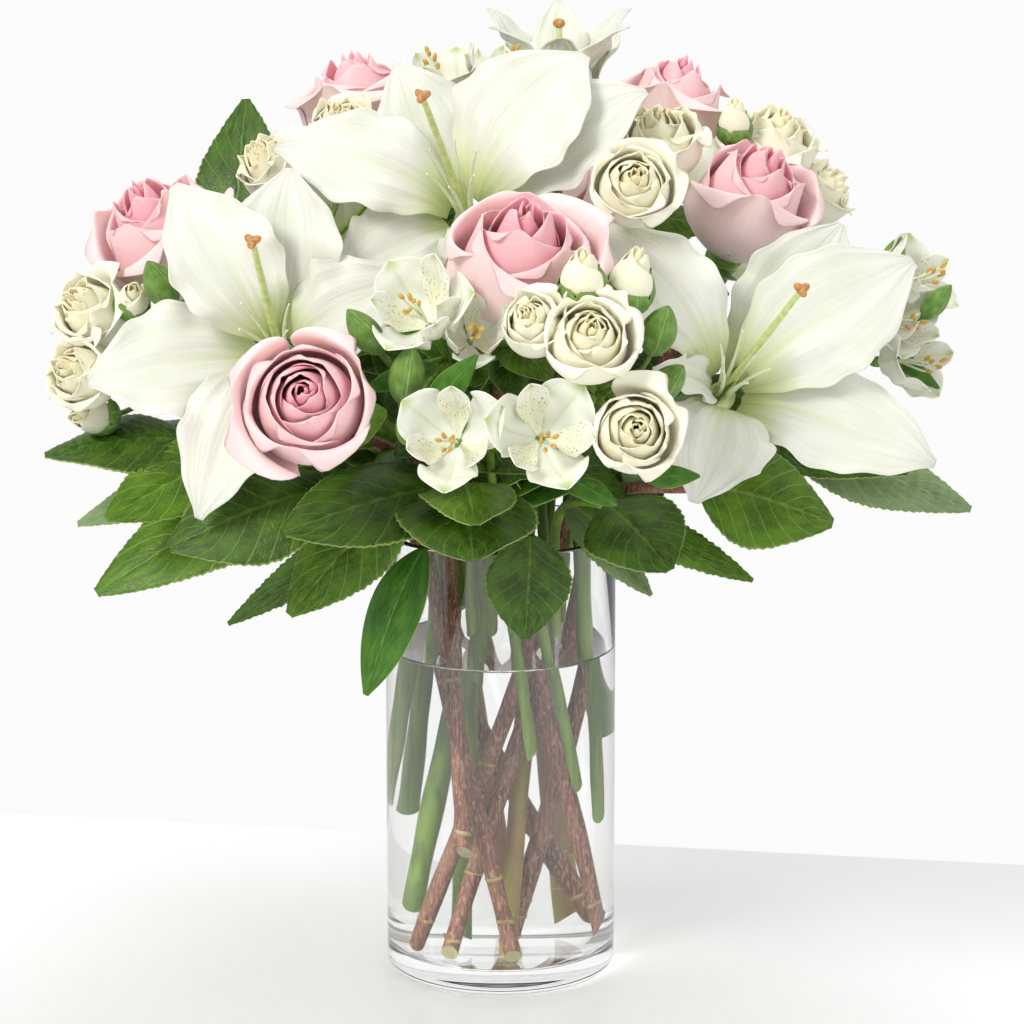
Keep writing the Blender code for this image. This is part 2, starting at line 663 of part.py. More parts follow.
def leaves():
    """The leafy twigs. Each leaf: ring of the twig, tip, width, arch, face."""
    branch(
        "salal_left", (-0.130, -0.030, 0.044), (-1, -0.1, 0.15),
        (
            (6, (-0.197, -0.040, 0.042), 0.036, 0.08, UP),
            (5, (-0.168, -0.075, 0.022), 0.030, 0.08, (0.3, -0.6, 0.8)),
            (4, (-0.186, -0.010, 0.004), 0.026, 0.08, (0, -0.6, 0.8)),
            (3, (-0.175, -0.050, -0.017), 0.040, 0.10, (0, -0.7, 0.7)),
            (5, (-0.185, 0.030, 0.030), 0.034, 0.08, UP),
        ),
    )
    branch(
        "salal_lower_left", (-0.070, -0.090, 0.038), (-0.8, -0.6, 0.1),
        (
            (6, (-0.139, -0.110, 0.018), 0.040, 0.10, (0, -0.7, 0.7)),
            (4, (-0.090, -0.084, -0.018), 0.030, 0.10, (-0.1, -0.9, 0.3)),
            (3, (-0.118, -0.050, -0.031), 0.016, 0.08, (-0.2, -0.9, 0.3)),
        ),
    )
    branch(
        "salal_front", (-0.016, -0.096, 0.040), (0, -1, 0.3),
        (
            (5, (-0.090, -0.128, 0.029), 0.040, 0.08, (0, -0.6, 0.8)),
            (6, (-0.010, -0.160, 0.040), 0.032, 0.10, UP),
            (6, (-0.011, -0.140, 0.020), 0.048, 0.10, UP),
        ),
    )
    branch(
        "salal_lower_right", (0.045, -0.085, 0.030), (0.5, -0.9, 0.1),
        (
            (6, (0.071, -0.125, 0.012), 0.036, 0.10, (0.1, -0.8, 0.6)),
            (4, (0.108, -0.080, -0.004), 0.015, 0.08, (0.1, -0.9, 0.5)),
            (3, (0.065, -0.070, -0.013), 0.013, 0.08, (0.1, -0.9, 0.3)),
        ),
    )
    branch(
        "salal_right", (0.085, -0.068, 0.034), (1, -0.2, 0.1),
        (
            (6, (0.142, -0.075, 0.020), 0.038, 0.10, (0, -0.7, 0.7)),
            (4, (0.086, -0.060, 0.074), 0.024, 0.06, (-0.3, -0.9, 0.1)),
        ),
    )
    branch(
        "salal_far_right", (0.125, -0.008, 0.036), (1, 0, 0.1),
        (
            (6, (0.206, -0.020, 0.013), 0.026, 0.08, (0, -0.7, 0.7)),
            (5, (0.176, -0.042, 0.034), 0.022, 0.08, (0, -0.5, 0.9)),
            (5, (0.178, 0.040, 0.030), 0.034, 0.08, UP),
        ),
    )
    branch(
        "salal_top_left", (-0.116, 0.020, 0.116), (0, 0.1, 1),
        (
            (6, (-0.113, 0.052, 0.183), 0.032, 0.06, (-0.3, -0.9, 0.3)),
            (4, (-0.150, 0.060, 0.100), 0.034, 0.08, (-0.4, 0.4, 0.8)),
        ),
    )
    branch(
        "salal_rear_left", (-0.040, 0.110, 0.040), (-0.2, 1, 0.1),
        (
            (6, (-0.060, 0.172, 0.030), 0.040, 0.08, (0, 0.3, 1)),
            (5, (-0.110, 0.140, 0.020), 0.038, 0.08, (0, 0.3, 1)),
            (4, (0.010, 0.150, 0.018), 0.038, 0.08, (0, 0.3, 1)),
        ),
    )
    branch(
        "salal_rear_right", (0.080, 0.090, 0.040), (0.6, 0.8, 0.1),
        (
            (6, (0.120, 0.145, 0.030), 0.040, 0.08, (0, 0.3, 1)),
            (5, (0.150, 0.080, 0.024), 0.038, 0.08, (0.2, 0.3, 1)),
            (4, (0.060, 0.150, 0.020), 0.036, 0.08, (0, 0.3, 1)),
        ),
    )
    over_rim = VASE_RADIUS + LEAF_TO_GLASS
    blade(
        "lily_leaf", above_rim(-0.032, -over_rim, 0.006), above_rim(-0.058, -over_rim - LEAF_LEAN, -0.058),
        Vector((-0.4, -0.9, 0.2)), 0.10, 0.026, -0.15, leaf_outline, LEAF_THICKNESS, 8, "leaf",
    )
    over_rim += LEAF_TO_GLASS
    blade(
        "rose_leaf", above_rim(0.013, -over_rim, 0.015), above_rim(0.0108, -over_rim, -0.031),
        Vector((0.1, -1, 0.1)), 0.06, 0.036, -0.10, leaf_outline, LEAF_THICKNESS, 7, "leaf",
    )


def main():
    clear_scene()
    lines = []
    for foot, lift, rim, radius in STEMS.values():
        lines.append((stem_line(foot, lift, rim, radius), radius))
    vase()
    water(lines)
    roses()
    lilies()
    spray_roses()
    alstroemerias()
    leaves()


main()
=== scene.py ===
"""Looks of the lilies in a vase: fine petals, leaves, stems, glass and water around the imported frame."""

import math
import random

import bpy
from mathutils import Matrix, Vector


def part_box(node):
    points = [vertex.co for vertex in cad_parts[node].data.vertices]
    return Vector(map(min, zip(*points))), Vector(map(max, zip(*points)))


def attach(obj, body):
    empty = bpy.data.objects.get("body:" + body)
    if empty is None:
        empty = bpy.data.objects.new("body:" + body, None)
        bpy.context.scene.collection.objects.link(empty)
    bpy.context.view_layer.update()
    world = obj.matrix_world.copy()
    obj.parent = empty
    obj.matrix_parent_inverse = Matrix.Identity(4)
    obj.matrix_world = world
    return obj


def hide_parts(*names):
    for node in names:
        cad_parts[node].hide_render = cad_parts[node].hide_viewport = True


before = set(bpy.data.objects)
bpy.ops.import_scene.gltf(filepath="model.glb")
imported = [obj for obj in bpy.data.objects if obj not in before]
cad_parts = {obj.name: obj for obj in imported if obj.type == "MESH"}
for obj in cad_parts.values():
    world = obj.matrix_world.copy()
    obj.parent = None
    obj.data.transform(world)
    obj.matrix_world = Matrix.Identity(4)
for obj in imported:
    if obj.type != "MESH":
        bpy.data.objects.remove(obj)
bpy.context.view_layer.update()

GOLDEN = math.radians(137.5)
VASE_LOW, VASE_HIGH = (Vector(corner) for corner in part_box("vase"))
VASE_RADIUS = (VASE_HIGH.x - VASE_LOW.x) / 2
VASE_HEIGHT = VASE_HIGH.z
WATER_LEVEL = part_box("water")[1][2]
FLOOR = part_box("water")[0][2] - 0.0003
INNER_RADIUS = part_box("water")[1][0] + 0.0003
TOP = Vector((0, 0, VASE_HEIGHT))
HEEL_RADIUS = 0.006
RIM_RADIUS = 0.0012
STEM_TO_GLASS = 0.0012

WOODY_RADIUS = 0.0033
LILY_STEM_RADIUS = 0.0035
GREEN_RADIUS = 0.0025
TWIG_RADIUS = 0.0013
STEM_RINGS = 5
SHORT_STEM = 0.0448
SHORT_TWIG = 0.0418
SHORT_STEM_LIFT = VASE_HEIGHT - FLOOR - STEM_TO_GLASS - SHORT_STEM
SHORT_TWIG_LIFT = VASE_HEIGHT - FLOOR - STEM_TO_GLASS - SHORT_TWIG

FUNNEL_DEPTH = 0.026
FUNNEL_RADIUS = 0.0085
INNER_STEP = 0.0050
INNER_ARCH = 0.055
HEAD_SHARE = 0.44
TWIG_SHARE = 0.45
STEM_SHARE = 0.42
LILY_SHEET = 0.0009
ROSE_SHEET = 0.0007
SMALL_SHEET = 0.0006
LEAF_SHEET = 0.0005
BUD_SHEET = 0.0004
LARGEST_SHIFT = 0.012


# ---------- materials ----------

def add(tree, kind, settings=None, **sockets):
    """A shader node with its settings and socket values; a socket given as a node output is linked."""
    node = tree.nodes.new("ShaderNode" + kind)
    for key, value in (settings or {}).items():
        setattr(node, key, value)
    for key, value in sockets.items():
        numbered = key[0] == "i" and key[1:].isdigit()
        socket = node.inputs[int(key[1:]) if numbered else key.replace("_", " ")]
        if isinstance(value, bpy.types.NodeSocket):
            tree.links.new(value, socket)
        else:
            socket.default_value = value
    return node


def new_material(name, roughness, **sockets):
    """A material with its own shader, whose plain values are set at once."""
    made = bpy.data.materials.new(name)
    made.use_nodes = True
    tree = made.node_tree
    shader = tree.nodes["Principled BSDF"]
    shader.inputs["Roughness"].default_value = roughness
    for key, value in sockets.items():
        shader.inputs[key.replace("_", " ")].default_value = value
    return made, tree, shader


def math_node(tree, operation, first, second):
    """The result of one sum on two values."""
    return add(tree, "Math", {"operation": operation}, i0=first, i1=second).outputs[0]


def between(tree, value, low, high):
    """0 below low, 1 above high, smooth in between. Turned round if low is above high."""
    kind = {"interpolation_type": "SMOOTHSTEP"}
    return add(tree, "MapRange", kind, i0=value, i1=low, i2=high, i3=0.0, i4=1.0).outputs[0]


def mix(tree, share, first, second):
    """A colour mixed from first (share 0) to second (share 1)."""
    node = add(tree, "Mix", {"data_type": "RGBA"})
    for index, value in ((0, share), (6, first), (7, second)):
        socket = node.inputs[index]
        if isinstance(value, bpy.types.NodeSocket):
            tree.links.new(value, socket)
        else:
            socket.default_value = value if index == 0 else (*value, 1)
    return node.outputs[2]


def sheet_coordinates(tree):
    """Along the petal or leaf, and across it, from its own UV map."""
    uv = add(tree, "UVMap", {"uv_map": "UVMap"})
    parts = add(tree, "SeparateXYZ", i0=uv.outputs[0])
    off_middle = math_node(tree, "SUBTRACT", parts.outputs[1], 0.5)
    across = add(tree, "Math", {"operation": "ABSOLUTE"}, i0=off_middle).outputs[0]
    return uv.outputs[0], parts.outputs[0], across


def streaks(tree, coordinates, scale, detail=3.0):
    """Noise stretched by the scale, for ribs, veins and grain."""
    mapping = add(tree, "Mapping", i0=coordinates, i3=scale)
    noise = add(tree, "TexNoise", Vector=mapping.outputs[0], Scale=1.0, Detail=detail)
    return noise.outputs[0]


def bump(tree, shader, height, strength, distance):
    """Fine relief of a surface, added to its shader."""
    node = add(tree, "Bump", Strength=strength, Distance=distance, Height=height)
    tree.links.new(node.outputs[0], shader.inputs["Normal"])


def lily_petal_material():
    """White with faint ribs, painted shade in the hollows of its broad folds, a pale green midrib and a
    yellow-green throat.
    """
    made, tree, shader = new_material(
        "lily_white", 0.42, Subsurface_Weight=0.20, Subsurface_Scale=0.003, Sheen_Weight=0.12
    )
    shader.inputs["Subsurface Radius"].default_value = (1.0, 0.9, 0.6)
    uv, along, across = sheet_coordinates(tree)
    ribs = streaks(tree, uv, (2.0, 44.0, 1.0))
    folds = streaks(tree, uv, (1.2, 9.0, 1.0), 1.0)
    clouds = add(tree, "TexNoise", Vector=uv, Scale=4.0, Detail=2.0).outputs[0]
    body = mix(tree, between(tree, clouds, 0.35, 0.7), (0.80, 0.80, 0.73), (0.85, 0.84, 0.79))
    fine = math_node(tree, "MULTIPLY", between(tree, ribs, 0.62, 0.40), 0.5)
    body = mix(tree, fine, body, (0.74, 0.77, 0.63))
    # Painted shade: the hollows of the broad folds, which the bump also sinks, are darkened towards grey
    # green.
    broad = math_node(tree, "MULTIPLY", between(tree, folds, 0.60, 0.38), 0.45)
    body = mix(tree, broad, body, (0.70, 0.73, 0.58))
    midrib = math_node(tree, "MULTIPLY", between(tree, across, 0.05, 0.0), between(tree, along, 0.85, 0.05))
    body = mix(tree, math_node(tree, "MULTIPLY", midrib, 0.55), body, (0.62, 0.72, 0.36))
    throat = between(tree, along, 0.36, 0.03)
    colour = mix(tree, throat, body, (0.66, 0.74, 0.36))
    tree.links.new(colour, shader.inputs["Base Color"])
    height = math_node(tree, "ADD", math_node(tree, "MULTIPLY", ribs, 0.25), folds)
    bump(tree, shader, height, 0.6, 0.0020)
    return made


def toned_petal_material(name, heart, middle, outer, foot, edge):
    """A rose petal. Its tone attribute is 1 at the heart and 0 outside; foot and edge tint its two ends."""
    made, tree, shader = new_material(
        name, 0.5, Subsurface_Weight=0.25, Subsurface_Scale=0.0016, Sheen_Weight=0.15
    )
    shader.inputs["Subsurface Radius"].default_value = (1.0, 0.75, 0.70)
    uv, along = sheet_coordinates(tree)[:2]
    tone = add(tree, "Attribute", {"attribute_name": "tone"}).outputs[2]
    veins = streaks(tree, uv, (2.0, 40.0, 1.0))
    base = mix(tree, between(tree, tone, 0.0, 0.5), outer, middle)
    base = mix(tree, between(tree, tone, 0.45, 1.0), base, heart)
    base = mix(tree, math_node(tree, "MULTIPLY", between(tree, veins, 0.42, 0.68), 0.25), base, middle)
    base = mix(tree, between(tree, along, 0.35, 0.0), base, foot)
    rim = math_node(tree, "MULTIPLY", between(tree, along, 0.93, 1.0), 0.8)
    colour = mix(tree, rim, base, edge)
    tree.links.new(colour, shader.inputs["Base Color"])
    bump(tree, shader, veins, 0.25, 0.0004)
    return made


def alstroemeria_material():
    """White with green tips and ribs, and brown flecks in rows on the inner petals."""
    made, tree, shader = new_material(
        "alstroemeria_white", 0.45, Subsurface_Weight=0.18, Subsurface_Scale=0.003, Sheen_Weight=0.15
    )
    uv, along, across = sheet_coordinates(tree)
    tone = add(tree, "Attribute", {"attribute_name": "tone"}).outputs[2]
    ribs = streaks(tree, uv, (3.0, 30.0, 1.0))
    body = mix(tree, between(tree, ribs, 0.4, 0.65), (0.86, 0.87, 0.76), (0.90, 0.90, 0.84))
    tip = math_node(tree, "MULTIPLY", between(tree, along, 0.80, 1.0), between(tree, across, 0.36, 0.05))
    body = mix(tree, tip, body, (0.38, 0.55, 0.16))
    midrib = math_node(tree, "MULTIPLY", between(tree, across, 0.06, 0.0), 0.4)
    body = mix(tree, midrib, body, (0.55, 0.66, 0.30))
    throat = math_node(tree, "MULTIPLY", tone, between(tree, along, 0.75, 0.35))
    body = mix(tree, math_node(tree, "MULTIPLY", throat, 0.6), body, (0.88, 0.86, 0.60))
    mapping = add(tree, "Mapping", i0=uv, i3=(9.0, 16.0, 1.0))
    cells = add(tree, "TexVoronoi", Vector=mapping.outputs[0], Scale=1.0).outputs[0]
    flecks = math_node(tree, "MULTIPLY", between(tree, cells, 0.24, 0.12), tone)
    flecks = math_node(tree, "MULTIPLY", flecks, between(tree, along, 0.92, 0.80))
    colour = mix(tree, flecks, body, (0.24, 0.07, 0.05))
    tree.links.new(colour, shader.inputs["Base Color"])
    bump(tree, shader, ribs, 0.3, 0.0004)
    return made


def leaf_material(name, dark, bright, vein, roughness, parallel=False):
    """A green leaf: midrib, side veins or lengthwise veins, a fine net between them and soft blotches."""
    made, tree, shader = new_material(name, roughness, Specular_IOR_Level=0.35)
    uv, along, across = sheet_coordinates(tree)
    blotches = add(tree, "TexNoise", Vector=uv, Scale=5.0, Detail=4.0).outputs[0]
    body = mix(tree, between(tree, blotches, 0.35, 0.68), dark, bright)
    if parallel:
        lines = math_node(tree, "PINGPONG", across, 0.028)
        side = between(tree, lines, 0.007, 0.0)
        side = math_node(tree, "MULTIPLY", side, 0.7)
    else:
        slanted = math_node(tree, "SUBTRACT", along, math_node(tree, "MULTIPLY", across, 0.55))
        lines = math_node(tree, "PINGPONG", slanted, 0.062)
        side = between(tree, lines, 0.010, 0.001)
    midrib = between(tree, across, 0.030, 0.008)
    mapping = add(tree, "Mapping", i0=uv, i3=(42.0, 22.0, 1.0))
    edges = add(tree, "TexVoronoi", {"feature": "DISTANCE_TO_EDGE"}, Vector=mapping.outputs[0], Scale=1.0)
    cells = edges.outputs[0]
    net = math_node(tree, "MULTIPLY", between(tree, cells, 0.10, 0.0), 0.0 if parallel else 0.35)
    veins = math_node(tree, "MAXIMUM", math_node(tree, "MAXIMUM", side, midrib), net)
    colour = mix(tree, math_node(tree, "MULTIPLY", veins, 0.75), body, vein)
    rim = between(tree, across, 0.480, 0.497)
    colour = mix(tree, math_node(tree, "MULTIPLY", rim, 0.75), colour, (0.36, 0.46, 0.12))
    tree.links.new(colour, shader.inputs["Base Color"])
    bump(tree, shader, math_node(tree, "SUBTRACT", 1.0, veins), 0.5, 0.0005)
    return made


def stem_material(name, dark, middle, light, grain, roughness, speck):
    """Bark or skin of a stem, streaked along its length, with fine paler flecks."""
    made, tree, shader = new_material(name, roughness)
    place = add(tree, "TexCoord").outputs["Object"]
    long = streaks(tree, place, grain, 4.0)
    patches = add(tree, "TexNoise", Vector=place, Scale=35.0, Detail=3.0).outputs[0]
    flecks = streaks(tree, place, (1150.0, 1150.0, 290.0), 3.0)
    body = mix(tree, between(tree, long, 0.40, 0.60), dark, middle)
    body = mix(tree, math_node(tree, "MULTIPLY", between(tree, patches, 0.45, 0.70), 0.25), body, light)
    colour = mix(tree, math_node(tree, "MULTIPLY", between(tree, flecks, 0.53, 0.62), speck), body, light)
    tree.links.new(colour, shader.inputs["Base Color"])
    bump(tree, shader, long, 0.5, 0.0006)
    return made


def plain_material(name, first, second, roughness, scale=300.0):
    """A small part's colour, varied a little by fine noise."""
    made, tree, shader = new_material(name, roughness, Subsurface_Weight=0.1, Subsurface_Scale=0.002)
    place = add(tree, "TexCoord").outputs["Object"]
    noise = add(tree, "TexNoise", Vector=place, Scale=scale, Detail=3.0).outputs[0]
    tree.links.new(mix(tree, between(tree, noise, 0.35, 0.65), first, second), shader.inputs["Base Color"])
    bump(tree, shader, noise, 0.3, 0.0003)
    return made


def clear_material(name, tint, ior):
    """Glass or water, with faint ripples in the surface. Light falls through it onto what stands inside."""
    made, tree, shader = new_material(name, 0.0, Transmission_Weight=1.0, IOR=ior)
    place = add(tree, "TexCoord").outputs["Object"]
    noise = add(tree, "TexNoise", Vector=place, Scale=14.0, Detail=1.0).outputs[0]
    shader.inputs["Base Color"].default_value = (*tint, 1)
    bump(tree, shader, noise, 0.03, 0.001)
    clear = add(tree, "BsdfTransparent", Color=(*[0.97 * share for share in tint], 1))
    rays = add(tree, "LightPath").outputs["Is Shadow Ray"]
    both = add(tree, "MixShader", i0=rays, i1=shader.outputs[0], i2=clear.outputs[0])
    tree.links.new(both.outputs[0], tree.nodes["Material Output"].inputs["Surface"])
    return made


LILY_WHITE = lily_petal_material()
ROSE_PINK = toned_petal_material(
    "rose_pink", (0.97, 0.40, 0.48), (0.97, 0.57, 0.60), (0.97, 0.73, 0.72),
    foot=(0.95, 0.80, 0.70), edge=(0.95, 0.60, 0.61),
)
ROSE_CREAM = toned_petal_material(
    "rose_cream", (0.98, 0.88, 0.54), (0.97, 0.92, 0.68), (0.97, 0.94, 0.79),
    foot=(0.92, 0.92, 0.54), edge=(0.93, 0.86, 0.62),
)
ALSTROEMERIA = alstroemeria_material()
LEAF_TOP = leaf_material("leaf_top", (0.028, 0.075, 0.005), (0.070, 0.165, 0.009), (0.14, 0.26, 0.035), 0.38)
LEAF_BRIGHT = leaf_material(
    "leaf_bright", (0.060, 0.15, 0.007), (0.125, 0.27, 0.012), (0.24, 0.40, 0.06), 0.38
)
LEAF_UNDER = leaf_material("leaf_under", (0.20, 0.31, 0.12), (0.27, 0.38, 0.17), (0.40, 0.50, 0.28), 0.55)
LEAF_LONG = leaf_material(
    "leaf_long", (0.035, 0.13, 0.008), (0.075, 0.23, 0.015), (0.17, 0.36, 0.05), 0.30, parallel=True
)
SEPAL_GREEN = leaf_material(
    "sepal_green", (0.10, 0.22, 0.035), (0.20, 0.36, 0.07), (0.36, 0.50, 0.16), 0.45, parallel=True
)
BARK = stem_material(
    "bark", (0.12, 0.036, 0.019), (0.26, 0.096, 0.050), (0.55, 0.35, 0.235),
    grain=(900.0, 900.0, 90.0), roughness=0.6, speck=0.55,
)
OLIVE = stem_material(
    "olive_skin", (0.28, 0.11, 0.04), (0.27, 0.21, 0.035), (0.42, 0.36, 0.09),
    grain=(90.0, 90.0, 14.0), roughness=0.45, speck=0.2,
)
STEM_GREEN = stem_material(
    "green_skin", (0.09, 0.17, 0.015), (0.17, 0.29, 0.03), (0.31, 0.42, 0.09),
    grain=(300.0, 300.0, 20.0), roughness=0.4, speck=0.15,
)
NODE_GOLD = plain_material("node_gold", (0.26, 0.17, 0.06), (0.40, 0.34, 0.12), 0.6)
CUT_END = plain_material("cut_end", (0.55, 0.52, 0.24), (0.68, 0.62, 0.36), 0.7)
PISTIL_GREEN = plain_material("pistil_green", (0.50, 0.62, 0.20), (0.66, 0.74, 0.34), 0.4)
FILAMENT_PALE = plain_material("filament_pale", (0.76, 0.80, 0.56), (0.84, 0.87, 0.68), 0.4)
STIGMA_RUST = plain_material("stigma_rust", (0.42, 0.18, 0.05), (0.62, 0.33, 0.12), 0.6, 900.0)
ANTHER_OCHRE = plain_material("anther_ochre", (0.52, 0.30, 0.05), (0.70, 0.46, 0.12), 0.8, 1500.0)
GLASS = clear_material("vase_glass", (0.995, 1.0, 0.998), 1.50)
WATER = clear_material("vase_water", (1.0, 1.0, 1.0), 1.333)


# ---------- shape helpers ----------

def fresh():
    """Nothing selected, and object mode."""
    if bpy.context.object and bpy.context.object.mode != "OBJECT":
        bpy.ops.object.mode_set(mode="OBJECT")
    bpy.ops.object.select_all(action="DESELECT")


def named(name, material):
    """The object just added, named and given its material."""
    piece = bpy.context.object
    piece.name = name
    piece.data.name = name
    if material:
        piece.data.materials.append(material)
    return piece


def press(piece, kind, **settings):
    """A modifier added and applied."""
    fresh()
    piece.select_set(True)
    bpy.context.view_layer.objects.active = piece
    made = piece.modifiers.new(kind.title(), kind)
    for key, value in settings.items():
        setattr(made, key, value)
    bpy.ops.object.modifier_apply(modifier=made.name)


def smooth(piece, angle=None):
    """Smooth faces, with edges sharper than the angle kept."""
    fresh()
    piece.select_set(True)
    bpy.context.view_layer.objects.active = piece
    if angle is None:
        bpy.ops.object.shade_smooth()
    else:
        bpy.ops.object.shade_smooth_by_angle(angle=math.radians(angle))


def close_up(piece):
    """Doubled points merged and every face turned out."""
    fresh()
    piece.select_set(True)
    bpy.context.view_layer.objects.active = piece
    bpy.ops.object.mode_set(mode="EDIT")
    bpy.ops.mesh.select_all(action="SELECT")
    bpy.ops.mesh.remove_doubles(threshold=0.000002)
    bpy.ops.mesh.normals_make_consistent(inside=False)
    bpy.ops.object.mode_set(mode="OBJECT")


def joined(pieces, name):
    """The pieces made into one, under a new name."""
    fresh()
    for piece in pieces:
        piece.select_set(True)
    bpy.context.view_layer.objects.active = pieces[0]
    if len(pieces) > 1:
        bpy.ops.object.join()
    whole = bpy.context.object
    whole.name = name
    whole.data.name = name
    return whole


def frame_of(direction):
    """Two directions square to the one given."""
    direction = Vector(direction).normalized()
    start = Vector((0, 0, 1)) if abs(direction.z) < 0.9 else Vector((1, 0, 0))
    first = start.cross(direction).normalized()
    return first, direction.cross(first)


def mark_tone(piece, tone):
    """How far a petal is from the heart, kept on its points for the material."""
    layer = piece.data.attributes.new("tone", "FLOAT", "POINT")
    layer.data.foreach_set("value", [tone] * len(piece.data.vertices))


def grid(name, place, material, cells, thickness=None, tone=0.0, smooth_levels=1):
    """A sheet: a grid of cells shaped by place(along, across), thickened at once if a thickness is given."""
    fresh()
    bpy.ops.mesh.primitive_grid_add(x_subdivisions=cells[0], y_subdivisions=cells[1], size=1)
    piece = named(name, material)
    for vertex in piece.data.vertices:
        vertex.co = place(vertex.co.x + 0.5, vertex.co.y * 2)
    mark_tone(piece, tone)
    if thickness:
        thicken(piece, thickness, smooth_levels)
    return piece


def thicken(piece, thickness, smooth_levels=1):
    """Gives sheets their thickness, and smooths them."""
    press(piece, "SOLIDIFY", thickness=thickness, offset=0.0, use_even_offset=False)
    if smooth_levels:
        press(piece, "SUBSURF", levels=smooth_levels, render_levels=smooth_levels)
    smooth(piece)
    return piece


def tube(name, points, radii, sides, material):
    """A closed round tube through the points."""
    fresh()
    bpy.ops.mesh.primitive_cylinder_add(vertices=sides, radius=1, depth=1, end_fill_type="NOTHING")
    piece = named(name, material)
    mesh = piece.data
    points = [Vector(point) for point in points]
    verts = []
    faces = []
    side = None
    for index, point in enumerate(points):
        ahead = (points[min(index + 1, len(points) - 1)] - points[max(index - 1, 0)]).normalized()
        if side is None:
            side, other = frame_of(ahead)
        side = (side - ahead * side.dot(ahead)).normalized()
        other = ahead.cross(side)
        for step in range(sides):
            turn = math.tau * step / sides
            verts.append(point + (side * math.cos(turn) + other * math.sin(turn)) * radii[index])
    for ring in range(len(points) - 1):
        for step in range(sides):
            after = (step + 1) % sides
            low = ring * sides
            high = low + sides
            faces.append((low + step, low + after, high + after, high + step))
    faces.append(tuple(reversed(range(sides))))
    faces.append(tuple((len(points) - 1) * sides + step for step in range(sides)))
    mesh.clear_geometry()
    mesh.from_pydata(verts, [], faces)
    mesh.update()
    smooth(piece, 50)
    return piece


def ball(name, centre, axis, radii, material, segments=12, rings=8):
    """An egg with its long way along the axis."""
    fresh()
    bpy.ops.mesh.primitive_uv_sphere_add(segments=segments, ring_count=rings, radius=1)
    piece = named(name, material)
    side, other = frame_of(axis)
    axis = Vector(axis).normalized()
    for vertex in piece.data.vertices:
        low = vertex.co.copy()
        vertex.co = Vector(centre) + (side * low.x + other * low.y) * radii[0] + axis * low.z * radii[1]
    smooth(piece)
    return piece


def turned(name, profile, material):
    """A closed shell turned about the upright axis."""
    fresh()
    bpy.ops.mesh.primitive_circle_add(vertices=3, radius=0.001)
    piece = named(name, material)
    segments = 128
    mesh = piece.data
    mesh.clear_geometry()
    edges = [(index, index + 1) for index in range(len(profile) - 1)]
    mesh.from_pydata([(radius, 0, height) for radius, height in profile], edges, [])
    press(
        piece, "SCREW", angle=math.tau, steps=segments, render_steps=segments,
        use_merge_vertices=True, merge_threshold=0.000001,
    )
    close_up(piece)
    return piece


def quarter(centre, radius, start, end, steps=6):
    """Points of an arc between two angles in degrees."""
    turns = [math.radians(start + (end - start) * step / steps) for step in range(steps + 1)]
    return [(centre[0] + radius * math.cos(turn), centre[1] + radius * math.sin(turn)) for turn in turns]


def bezier(first, second, third, fourth, count):
    """Points of a curve that leaves the first towards the second and reaches the fourth from the third."""
    spots = []
    for step in range(count + 1):
        t = step / count
        back = 1 - t
        early = first * back ** 3 + second * 3 * t * back ** 2
        spots.append(early + third * 3 * t * t * back + fourth * t ** 3)
    return spots


def leaf_outline(along):
    """Half the width of a leaf at a share of its length, pointed at the tip."""
    return 0.07 + 0.93 * math.sin(math.pi * min(along, 0.99) ** 0.85) ** 0.9


def petal_outline(along):
    """Half the width of a lily petal, with a narrow claw at its foot."""
    return 0.16 * (1 - along) + math.sin(math.pi * min(along, 0.985) ** 1.15) ** 0.8 * 0.98


# ---------- flowers ----------

def blade_place(base, tip, width, arch, face, cup, outline, detail=None):
    """Where a point of a petal or leaf lies: share along its length, and across from -1 to 1."""
    base, tip = Vector(base), Vector(tip)
    chord = tip - base
    side = chord.cross(Vector(face)).normalized()
    up = side.cross(chord).normalized()

    def place(along, across):
        half = width / 2 * outline(along)
        lift = chord.length * arch * math.sin(math.pi * max(along, 0) ** 0.75)
        point = base + chord * along + up * (lift + cup * half * across * across) + side * half * across
        if detail:
            extra_side, extra_up = detail(along, across)
            point += side * extra_side + up * extra_up
        return point
    return place


def lily_detail(seed):
    """Ribs beside the midrib, a wavy edge and a tip that curls back."""
    rng = random.Random(seed)
    phase = rng.uniform(0, math.tau)
    waves = rng.uniform(2.6, 3.6)

    def detail(along, across):
        middle = math.sin(math.pi * min(max(along, 0), 1))
        groove = -0.0026 * math.exp(-(across / 0.08) ** 2) * middle
        ribs = 0.0009 * math.cos(across * 17) * middle * (1 - abs(across))
        wave = math.sin(along * waves * math.tau + phase + across * 1.3)
        ruffle = 0.0030 * abs(across) ** 2.5 * middle * wave
        curl = -0.004 * (max(0, along - 0.86) / 0.14) ** 2
        wander = 0.0011 * abs(across) ** 3 * math.sin(along * 31 + phase) * middle
        return wander * (1 if across > 0 else -1), groove + ribs + ruffle + curl
    return detail


def lily_petals(name, throat, facing, first_inner, tips):
    """The six petals of an open lily, each in place of its own solid."""
    rim = TOP + Vector(throat)
    facing = Vector(facing).normalized()
    seat = rim - facing * FUNNEL_DEPTH
    for index, (tip, width, arch) in enumerate(tips):
        tip = rim + Vector(tip)
        outward = tip - rim
        outward = (outward - facing * outward.dot(facing)).normalized()
        inner = index % 2 == first_inner
        arch += INNER_ARCH if inner else -INNER_ARCH
        base = seat + outward * FUNNEL_RADIUS
        if inner:
            base += facing * INNER_STEP
        node = f"{name}_petal_{index + 1}"
        place = blade_place(base, tip, width, arch, facing, 0.10, petal_outline, lily_detail(node))
        petal = grid(f"{node}_fine", place, LILY_WHITE, (36, 18), LILY_SHEET)
        finish_piece(petal, (node,), align=True)


